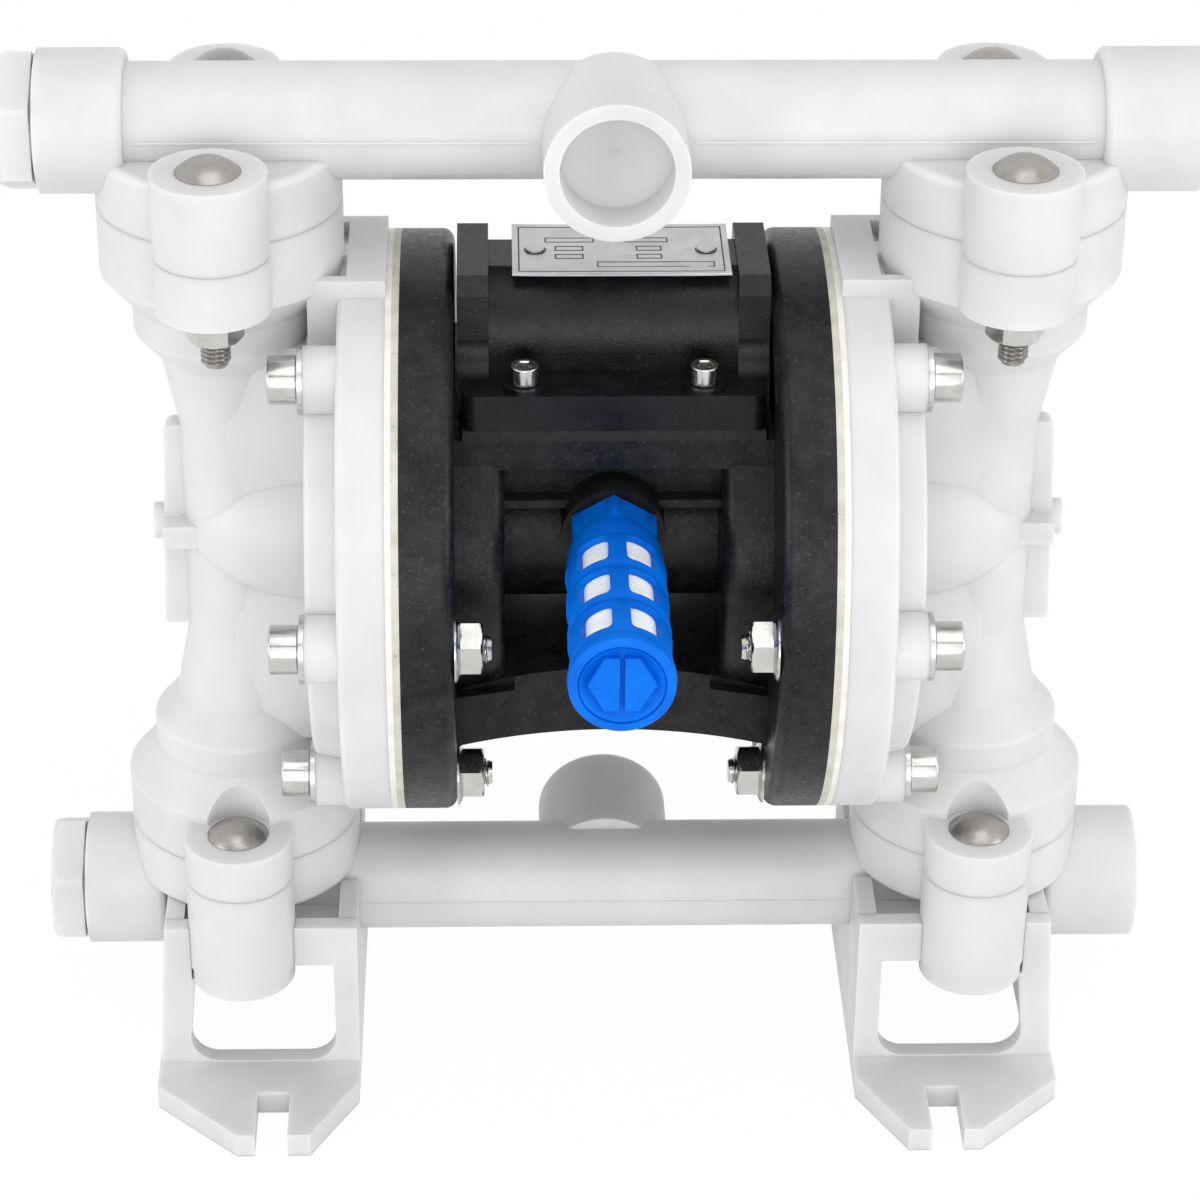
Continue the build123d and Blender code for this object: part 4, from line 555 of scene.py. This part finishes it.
# %% Manifold bolts and nuts
PORT_X, EAR_Y = 78.5, 27.0
EARS = [(x, y) for x in (-PORT_X, PORT_X) for y in (-EAR_Y, EAR_Y)]
DOME_RADIUS, DOME_RISE, DOME_THREADED = 6.4, 3.1, 14.0
for row in ("outlet", "inlet"):
    low, high = (corner[2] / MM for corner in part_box(f"{row}_flange_bolts"))
    seat = high - DOME_RISE
    shape = dome_screw(DOME_RADIUS, DOME_RISE, seat - low, DOME_THREADED)
    places = [facing(UP, RIGHT, (x, y, seat)) for x, y in EARS]
    add_piece(f"{row}_dome_bolts", [copies(shape, places)], satin_steel_painted_shade, [f"{row}_flange_bolts"])
    low, high = (corner[2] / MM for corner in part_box(f"{row}_flange_nuts"))
    places = [facing(UP, RIGHT, (x, y, low)) for x, y in EARS]
    add_piece(f"{row}_hex_nuts", [copies(nut(NUT_WIDTH, high - low, NUT_BORE), places)],
              polished_steel, [f"{row}_flange_nuts"])

# %% [markdown]
# The air valve is held by four M3.5 cylinder heads that stand on round bosses.

# %% Valve screws
VALVE_SCREW_X, VALVE_SCREW_Y = 17.9, 22.8
VALVE_SCREWS = [(x, y) for x in (-VALVE_SCREW_X, VALVE_SCREW_X)
                for y in (-VALVE_SCREW_Y, VALVE_SCREW_Y)]
CAP_RADIUS, CAP_HEIGHT, CAP_KEY, CAP_KEY_DEPTH = 2.85, 3.9, 3.0, 2.0
CAP_THREADED, CAP_SHANK, CAP_PITCH = 8.0, 1.75, 0.6
low, high = (corner[2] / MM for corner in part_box("valve_screws"))
shape = socket_screw(CAP_RADIUS, CAP_HEIGHT, CAP_KEY, CAP_KEY_DEPTH, high - CAP_HEIGHT - low,
                     CAP_THREADED, CAP_SHANK, CAP_PITCH)
places = [facing(UP, RIGHT, (x, y, high - CAP_HEIGHT)) for x, y in VALVE_SCREWS]
add_piece("valve_cap_screws", [copies(shape, places)], polished_steel, ["valve_screws"])

# %% [markdown]
# ## The silencer
# The blue cage is the first thing one sees, so its windows get round corners and each row of
# them bulges a little. One window with the plastic round it is a cell. A cell is worked out
# as closed loops: the loop of the window's edge, then loops that grow from it to the cell's
# own square edge. Its loops start at the bore and come out through the window, so that 18
# cells, six round in three rows, make the whole cage, with a wall of real thickness.

# %% Silencer cage
SILENCER_Z, SILENCER_BACK_Y = 11.2 + AXIS_HEIGHT, -28.0
SILENCER_FRONT = (0, -1, 0)
CAGE_RADIUS, CAGE_BORE, CAGE_BULGE = 9.6, 8.8, 0.8
CELLS_ROUND, ROW_COUNT, ROW_LENGTH, CAGE_START = 6, 3, 13.0, 15.4
WINDOW_HALF_WIDTH, WINDOW_HALF_LENGTH = 3.3, 4.5
WINDOW_POWER, BULGE_POWER = 7, 3  # a higher power gives sharper corners, a flatter bulge
SIDE_STEPS = 12
SILENCER_PLACE = facing(SILENCER_FRONT, RIGHT, (0, SILENCER_BACK_Y, SILENCER_Z))


def square_loop():
    """Points round a square from -1 to 1, SIDE_STEPS on each side, against the clock."""
    run = np.linspace(-1, 1, SIDE_STEPS, endpoint=False)
    one = np.ones(SIDE_STEPS)
    return np.concatenate([np.stack([run, -one], 1), np.stack([one, run], 1),
                           np.stack([-run, one], 1), np.stack([-one, -run], 1)])


def cage_cell(turn, row):
    """Loops from the inner cell edge, over the window's edge, to the outer cell edge. A point
    is (angle, height, radius); a loop between window and cell is their mean by share."""
    square = square_loop()
    size = (np.abs(square) ** WINDOW_POWER).sum(1, keepdims=True) ** (1 / WINDOW_POWER)
    window = square / size
    window = window * [WINDOW_HALF_WIDTH / CAGE_RADIUS, WINDOW_HALF_LENGTH]
    cell = square * [math.pi / CELLS_ROUND, ROW_LENGTH / 2]
    shares = np.array([1.0, 0.0, 0.0, 0.0, 0.08, 0.3, 0.65, 1.0])
    depths = np.array([0.0, 0.0, 0.5, 0.9, 1.0, 1.0, 1.0, 1.0])
    flat = window + shares[:, None, None] * (cell - window)
    bulge = CAGE_BULGE * (1 - np.abs(flat[..., 1] / ROW_LENGTH * 2) ** BULGE_POWER)
    radius = CAGE_BORE + depths[:, None] * (CAGE_RADIUS + bulge - CAGE_BORE)
    angle = flat[..., 0] + turn
    height = flat[..., 1] + CAGE_START + (row + 0.5) * ROW_LENGTH
    return np.stack([radius * np.cos(angle), radius * np.sin(angle), height], axis=-1)


def cage_end(height):
    """The flat ring that closes one end of the cage, from the bore to the outside."""
    turns = np.arange(CELLS_ROUND * SIDE_STEPS) * 2 * math.pi / (CELLS_ROUND * SIDE_STEPS)
    radii = np.array([CAGE_BORE, CAGE_RADIUS])[:, None]
    heights = np.full((2, len(turns)), height)
    return np.stack([radii * np.cos(turns), radii * np.sin(turns), heights], axis=-1)


# %% [markdown]
# Behind the cage is the hexagon that a spanner turns, and in front the round cap, with a
# groove and a raised hexagon that a screwdriver's slot divides. Each half of that hexagon is
# its outline carried up and drawn in a little at the top.

# %% Silencer ends
SPANNER_WIDTH, SPANNER_EDGE = 17.0, 0.4
HUB_BACK, HUB_CHAMFER, HUB_NECK, HUB_SHOULDER = 0.05, 0.5, 7.2, 8.0  # heights along the silencer
NECK_RADIUS = 9.2
HUB_CONE = [(9.2, 9.3), (10.4, 9.7)]  # this list and the next two hold (height, radius)
CAP_SIDE = [(0.0, 9.75), (0.4, 10.3), (1.6, 10.5)]
CAP_FACE = [(57.6, 10.3), (58.0, 9.8), (58.0, 8.55), (57.4, 8.5), (57.4, 8.2), (57.7, 8.15),
            (57.0, 7.3), (56.4, 6.2), (56.3, 0)]
SEAM = 0.1  # how far the turned ends reach into the cage
CORE_GAP = 0.05
RAISED_RADIUS, RAISED_SLOT, RAISED_FOOT, RAISED_TOP, RAISED_EDGE = 6.75, 0.45, 56.2, 57.9, 0.2


def raised(points, foot, top, edge):
    """An outline at foot height and under the top, then drawn in by edge, then its middle."""
    points = np.array(points, float)
    middle = points.mean(0)
    lengths = np.linalg.norm(middle - points, axis=1, keepdims=True)
    inward = points + (middle - points) / lengths * edge
    centre = np.tile(middle, (len(points), 1))
    loops = [(centre, foot), (points, foot), (points, top - edge), (inward, top), (centre, top)]
    return np.stack([np.column_stack([loop, np.full(len(loop), height)])
                     for loop, height in loops])


def half_hexagon(radius, slot_half, side):
    """One half of a hexagon with its corners left and right, cut off slot_half from the middle."""
    flat = radius * math.sin(math.radians(60))
    outline = [(slot_half, -flat), (radius / 2, -flat), (radius, 0), (radius / 2, flat),
               (slot_half, flat)]
    return [(side * x, y) for x, y in outline]


def silencer_hub():
    """From the seat outwards: a hexagon for the spanner, a neck, and a cone up to the cage."""
    sides = np.roll(hexagon(SPANNER_WIDTH), SEGMENTS // 12)
    end = CAGE_START + SEAM
    return turned([(HUB_BACK, 0), (HUB_BACK, sides - SPANNER_EDGE), (HUB_CHAMFER, sides),
                   (HUB_NECK, sides), (HUB_SHOULDER, np.minimum(sides, NECK_RADIUS)),
                   *HUB_CONE, (end, CAGE_RADIUS), (end, 0)])


def silencer_cap(cage_top):
    """A round cap whose face has a rim, a fine groove inside it and a dished middle."""
    start = cage_top - SEAM
    side = [(start + height, radius) for height, radius in CAP_SIDE]
    return turned([(start, 0)] + side + CAP_FACE)


def silencer():
    """The cage's cells and ends, the hexagon behind them and the cap in front."""
    middle = math.pi / 2 + math.pi / CELLS_ROUND
    turns = middle + np.arange(CELLS_ROUND) * 2 * math.pi / CELLS_ROUND
    cells = np.stack([cage_cell(turn, row) for turn in turns for row in range(ROW_COUNT)])
    turn, move = np.array(SILENCER_PLACE)[:3, :3], np.array(SILENCER_PLACE)[:3, 3]
    whole = np.einsum("ij,krcj->krci", turn, cells) + move
    cage_top = CAGE_START + ROW_COUNT * ROW_LENGTH
    halves = [raised(half_hexagon(RAISED_RADIUS, RAISED_SLOT, side), RAISED_FOOT, RAISED_TOP,
                     RAISED_EDGE) for side in (-1, 1)]
    ends = [cage_end(CAGE_START), cage_end(cage_top), silencer_hub(), silencer_cap(cage_top)]
    return [whole] + [copies(grid, [SILENCER_PLACE]) for grid in ends + halves]


def silencer_core():
    """The white porous cylinder that fills the cage."""
    end, radius = CAGE_START + ROW_COUNT * ROW_LENGTH, CAGE_BORE - CORE_GAP
    core = turned([(CAGE_START, 0), (CAGE_START, radius), (end, radius), (end, 0)])
    return [copies(core, [SILENCER_PLACE])]


add_piece("silencer_cage", silencer(), blue_pe, ["muffler_body"], sharp=40.0)
add_piece("silencer_core", silencer_core(), sintered_pe, ["muffler_element"], sharp=40.0)

# %% [markdown]
# ## The name plate
# The plate is a thin brushed sheet. It carries only a printed frame, empty fields and a ring
# round each rivet. The sheet was pressed on by hand, so its corners stand up a little.

# %% Name plate
PLATE_LOW, PLATE_HIGH = (np.array(corner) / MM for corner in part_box("name_plate"))
PLATE_MIDDLE, PLATE_HALF = (PLATE_LOW + PLATE_HIGH) / 2, (PLATE_HIGH - PLATE_LOW) / 2
SHEET_DROP, EDGE_CURL, CORNER_CURL = 0.25, 0.2, 0.12
INK_HEIGHT, INK_DEPTH, INK_LINE = 0.03, -0.05, 0.3
INK_WALL = (INK_DEPTH, INK_HEIGHT, INK_HEIGHT, INK_DEPTH, INK_DEPTH)


def plate_height(x, y):
    """The sheet's top: flat in the middle, rising with the fourth power towards its edges."""
    across = (x - PLATE_MIDDLE[0]) / PLATE_HALF[0]
    along = (y - PLATE_MIDDLE[1]) / PLATE_HALF[1]
    curl = EDGE_CURL * along ** 4 + CORNER_CURL * across ** 6 * along ** 2
    return PLATE_HIGH[2] - SHEET_DROP + curl


def name_sheet():
    """Loops from the middle of the underside, over the edge, to the middle of the top: each
    loop is a square scaled towards the middle of the plate, lying on plate_height."""
    scales = [0, 0.5, 0.9, 0.992, 1, 1, 0.992, 0.9, 0.5, 0]
    drops = [0.55, 0.55, 0.55, 0.55, 0.45, 0.1, 0, 0, 0, 0]
    square = square_loop()
    loops = []
    for scale, drop in zip(scales, drops):
        x, y = (PLATE_MIDDLE[:2] + square * PLATE_HALF[:2] * scale).T
        loops.append(np.stack([x, y, plate_height(x, y) - drop], axis=-1))
    return np.stack(loops)[None]


def printed(outer, inner):
    """A line of ink between two closed edges, a hair above the sheet and set into it."""
    loops = []
    for edge, stand in zip((outer, outer, inner, inner, outer), INK_WALL):
        loops.append(np.column_stack([edge, plate_height(edge[:, 0], edge[:, 1]) + stand]))
    return np.stack(loops)[None]


def along_sides(corners, steps):
    """Points along the straight sides between corners, steps on each side."""
    run = np.linspace(0, 1, steps, endpoint=False)[:, None]
    return np.concatenate([a + run * (b - a) for a, b in zip(corners, np.roll(corners, -1, 0))])


def printed_box(x0, x1, y0, y1, steps=24):
    """A printed rectangle."""
    corners = np.array([(x0, y0), (x1, y0), (x1, y1), (x0, y1)])
    inwards = np.array([(1, 1), (-1, 1), (-1, -1), (1, -1)])
    return printed(along_sides(corners, steps), along_sides(corners + inwards * INK_LINE, steps))


def printed_ring(x, y, radius, steps=40):
    """A printed circle."""
    turn = np.arange(steps) * 2 * math.pi / steps
    edges = [np.stack([x + reach * np.cos(turn), y + reach * np.sin(turn)], axis=-1)
             for reach in (radius, radius - INK_LINE)]
    return printed(*edges)


black_ink = moulded("screen-printed black ink", "141414", "1E1E1E", 2.0, 0.3, 0.01, (0.4, 0.5))
add_piece("name_sheet", [name_sheet()], plate_metal, ["name_plate"])
left, front = PLATE_LOW[:2]
FRAME_AND_HEADER = [(1.2, 42.6, 1.3, 22.5), (17.0, 40.6, 3.6, 6.2)]
FIELD_HEIGHT, RING_GAP = 2.2, 0.35
FIELD_ROWS = [(7.6, ((8.6, 14.4), (25.0, 30.2))), (11.4, ((8.6, 14.4), (25.0, 30.2))),
              (15.4, ((6.6, 16.6), (21.4, 31.6)))]
fields = FRAME_AND_HEADER + [(x0, x1, y, y + FIELD_HEIGHT) for y, row in FIELD_ROWS
                             for x0, x1 in row]
rivets_low, rivets_high = (np.array(corner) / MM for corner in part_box("name_plate_rivets"))
rivet_radius = (rivets_high[1] - rivets_low[1]) / 2
rings = [printed_ring(x, rivets_low[1] + rivet_radius, rivet_radius + RING_GAP)
         for x in (rivets_low[0] + rivet_radius, rivets_high[0] - rivet_radius)]
boxes = [printed_box(left + x0, left + x1, front + y0, front + y1) for x0, x1, y0, y1 in fields]
add_piece("name_sheet_print", rings + boxes, black_ink)

# %% [markdown]
# ## Traces of the mould
# Where the halves of the mould met, a fine bead runs along both tubes, front and back. The
# open ports have a pipe thread. Both are a small profile carried along a path.

# %% Mould beads and port threads
def carried(path, side, out, profile):
    """A profile of (sideways, outwards) points at each point of a path, whose directions
    sideways and outwards are given there."""
    path, side, out = (np.array(part, float)[:, None, :] for part in (path, side, out))
    profile = np.array(profile, float)[None, :, :] * np.ones((len(path), 1, 1))
    profile[[0, -1]] *= 0
    return (path + side * profile[..., :1] + out * profile[..., 1:])[None]


TUBE_RADIUS, TUBE_Z = 11.7, 90.0
BEAD = [(-0.35, -0.2), (-0.22, 0.06), (0, 0.13), (0.22, 0.06), (0.35, -0.2)]
BEAD_STEPS, BEAD_END, BOSS_EDGE = 40, 95.5, 15.0
WHOLE_RUN, SPLIT_RUN = [(-BEAD_END, BEAD_END)], [(-BEAD_END, -BOSS_EDGE), (BOSS_EDGE, BEAD_END)]


def bead(start, end, face, z):
    """A bead along x from start to end, on the front (face -1) or the rear (1) of a tube."""
    ones = np.ones(BEAD_STEPS)
    x = np.linspace(start, end, BEAD_STEPS)
    path = np.stack([x, face * TUBE_RADIUS * ones, (z + AXIS_HEIGHT) * ones], axis=-1)
    up, out = np.outer(ones, [0, 0, 1]), np.outer(ones, [0, face, 0])
    return carried(path, up, out, BEAD)


beads = []
for z, face, runs in ((TUBE_Z, -1, SPLIT_RUN), (TUBE_Z, 1, WHOLE_RUN),
                      (-TUBE_Z, -1, WHOLE_RUN), (-TUBE_Z, 1, SPLIT_RUN)):
    beads += [bead(start, end, face, z) for start, end in runs]
add_piece("mould_beads", beads, thin_pp)

THREAD_PITCH, THREAD_TURNS, TURN_STEPS = 1.814, 7, 48
THREAD_START_X, THREAD_ROOT_RADIUS = 115.3, 9.35
THREAD_RIDGE = [(-0.75, -0.1), (-0.2, 0.5), (0.2, 0.5), (0.75, -0.1)]


def port_thread(z):
    """A helix in the port: x falls one pitch a turn, and the ridge points at the axis."""
    t = np.arange(THREAD_TURNS * TURN_STEPS + 1) * 2 * math.pi / TURN_STEPS
    inward = np.stack([np.zeros_like(t), -np.cos(t), -np.sin(t)], axis=-1)
    x = THREAD_START_X - THREAD_PITCH * t / (2 * math.pi)
    path = -inward * THREAD_ROOT_RADIUS + np.stack([x, 0 * t, 0 * t + z + AXIS_HEIGHT], axis=-1)
    along = np.tile([1, 0, 0], (len(t), 1))
    return carried(path, along, inward, THREAD_RIDGE)


add_piece("port_threads", [port_thread(TUBE_Z), port_thread(-TUBE_Z)], thin_pp)

# %% [markdown]
# ## Diaphragms
# Each diaphragm is clamped at its rim and bolted to the shaft in its middle, and the round
# fold between rolls as the shaft moves.

# %% Diaphragms with their round fold
FOLD_INNER, FOLD_OUTER, FOLD_RISE = 28.5, 43.5, 3.5
DIAPHRAGM_HOLE, DIAPHRAGM_RADIUS = 4.05, 60.6
BACKUP_SHEET = (42.7, 1.5, FOLD_RISE)  # inner face's x, thickness, rise of the fold
OUTER_SHEET = (44.2, 1.2, FOLD_RISE + 0.3)


def diaphragm_rings(start, thickness, rise):
    """Rings round a clamped sheet: outwards over the fold on one face, back on the other."""
    half = (FOLD_OUTER - FOLD_INNER) / 2
    curve = (half ** 2 + rise ** 2) / (2 * rise)
    fold = np.linspace(-half, half, 17)
    face = [(0, DIAPHRAGM_HOLE), (0, FOLD_INNER - half)]
    face += list(zip(np.sqrt(curve ** 2 - fold ** 2) - curve + rise, fold + FOLD_INNER + half))
    face += [(0, FOLD_OUTER + half), (0, DIAPHRAGM_RADIUS)]
    outer = [(start + thickness + x, radius) for x, radius in face]
    inner = [(start + x, radius) for x, radius in reversed(face)]
    return inner + outer + inner[:1]


def blend_by_radius(piece):
    """Bakes the piece's place into its points; it is not joined to the pump or the shaft."""
    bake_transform(piece)


for side, base in ((-1, "left"), (1, "right")):
    place = [facing((side, 0, 0), (0, side, 0), (0, 0, AXIS_HEIGHT))]
    for node, material, sheet_size in (("backup_diaphragm", cream_rubber, BACKUP_SHEET),
                                       ("diaphragm", ptfe, OUTER_SHEET)):
        sheet = copies(turned(diaphragm_rings(*sheet_size)), place)
        piece = add_piece(f"flexing_{node}_{base}", [sheet], material, [f"{node}_{base}"],
                          rigid=False)
        blend_by_radius(piece)

# %% [markdown]
# ## Light and floor
# One large soft lamp stands above, one at each side and two in front, and the world fills
# in evenly. The background of the photograph is white, so the world and the floor are white
# to the camera and in reflections, while the floor still takes a little shadow. A black
# card, which only reflections see, gives the metal its dark bands.

# %% World, lamps and floor
def white_to_eye(tree):
    """1 for rays from the camera, from gloss and through clear things, else 0."""
    path = add(tree, "ShaderNodeLightPath").outputs
    first = add(tree, "ShaderNodeMath", links={0: path["Is Camera Ray"], 1: path["Is Glossy Ray"]},
                operation="MAXIMUM").outputs["Value"]
    return add(tree, "ShaderNodeMath", links={0: first, 1: path["Is Transmission Ray"]},
               operation="MAXIMUM").outputs["Value"]


def make_world():
    """Even light of WORLD_LIGHT on the pump, and plain white wherever the background is seen."""
    world = bpy.data.worlds.new("white room")
    bpy.context.scene.world = world
    world.use_nodes = True
    tree = world.node_tree
    tree.nodes.clear()
    fill = add(tree, "ShaderNodeBackground", {"Color": linear("FFFFFF"), "Strength": WORLD_LIGHT})
    seen = add(tree, "ShaderNodeBackground", {"Color": linear("FFFFFF"), "Strength": 1.0})
    both = add(tree, "ShaderNodeMixShader", links={
        0: white_to_eye(tree), 1: fill.outputs["Background"], 2: seen.outputs["Background"]})
    add(tree, "ShaderNodeOutputWorld", links={"Surface": both.outputs["Shader"]})


def add_lamp(name, place, size, power):
    """A square soft lamp that looks at the middle of the pump."""
    data = bpy.data.lights.new(name, "AREA")
    data.size = size
    data.energy = power
    lamp = bpy.data.objects.new(name, data)
    lamp.location = place
    lamp.rotation_euler = (Vector(place) - TARGET).to_track_quat("Z", "Y").to_euler()
    bpy.context.collection.objects.link(lamp)


def make_floor():
    """A large plain sheet, mostly white by itself, that takes a little of the lamps' shadow."""
    mesh = bpy.data.meshes.new("floor")
    corners = [(-1, -1), (1, -1), (1, 1), (-1, 1)]
    mesh.from_pydata([(FLOOR_HALF * x, FLOOR_HALF * y, 0) for x, y in corners], [], [(0, 1, 2, 3)])
    floor = bpy.data.objects.new("floor", mesh)
    bpy.context.collection.objects.link(floor)
    material, tree = new_material("white paper floor")
    paper = add(tree, "ShaderNodeBsdfDiffuse", {"Color": linear("F4F4F4")})
    glow = add(tree, "ShaderNodeEmission", {"Color": linear("FFFFFF"), "Strength": 1.0})
    share = add(tree, "ShaderNodeMath", {1: FLOOR_GLOW}, {0: white_to_eye(tree)},
                operation="MULTIPLY")
    both = add(tree, "ShaderNodeMixShader", links={
        0: share.outputs["Value"], 1: paper.outputs["BSDF"], 2: glow.outputs["Emission"]})
    add(tree, "ShaderNodeOutputMaterial", links={"Surface": both.outputs["Shader"]})
    mesh.materials.append(material)


def add_flag(name, y, low, high):
    """A black card across the room that is seen only in reflections."""
    mesh = bpy.data.meshes.new(name)
    corners = [(-1, low), (1, low), (1, high), (-1, high)]
    mesh.from_pydata([(FLAG_HALF * x, y, z) for x, z in corners], [], [(0, 1, 2, 3)])
    flag = bpy.data.objects.new(name, mesh)
    bpy.context.collection.objects.link(flag)
    material, tree = new_material("black cloth")
    cloth = add(tree, "ShaderNodeBsdfDiffuse", {"Color": linear("101010")})
    add(tree, "ShaderNodeOutputMaterial", links={"Surface": cloth.outputs["BSDF"]})
    mesh.materials.append(material)
    flag.visible_camera = flag.visible_diffuse = False
    flag.visible_shadow = flag.visible_transmission = False


WORLD_LIGHT, FLOOR_GLOW = 0.74, 0.97
FLOOR_HALF, FLAG_HALF = 6.0, 1.2  # in metres
LAMPS = {  # place in metres, side in metres, power in watts
    "top light": ((0.1, -0.5, 1.3), 1.1, 3.4),
    "left light": ((-1.2, -0.6, 0.5), 0.8, 5.0),
    "right light": ((1.2, -0.6, 0.5), 0.8, 5.0),
    "front light": ((0.0, -1.25, 0.85), 1.0, 2.2),
    "low light": ((0.0, -1.5, 0.1), 0.9, 6.0),
}
make_world()
make_floor()
for name, settings in LAMPS.items():
    add_lamp(name, *settings)
add_flag("front flag", -0.95, 0.95, 1.2)
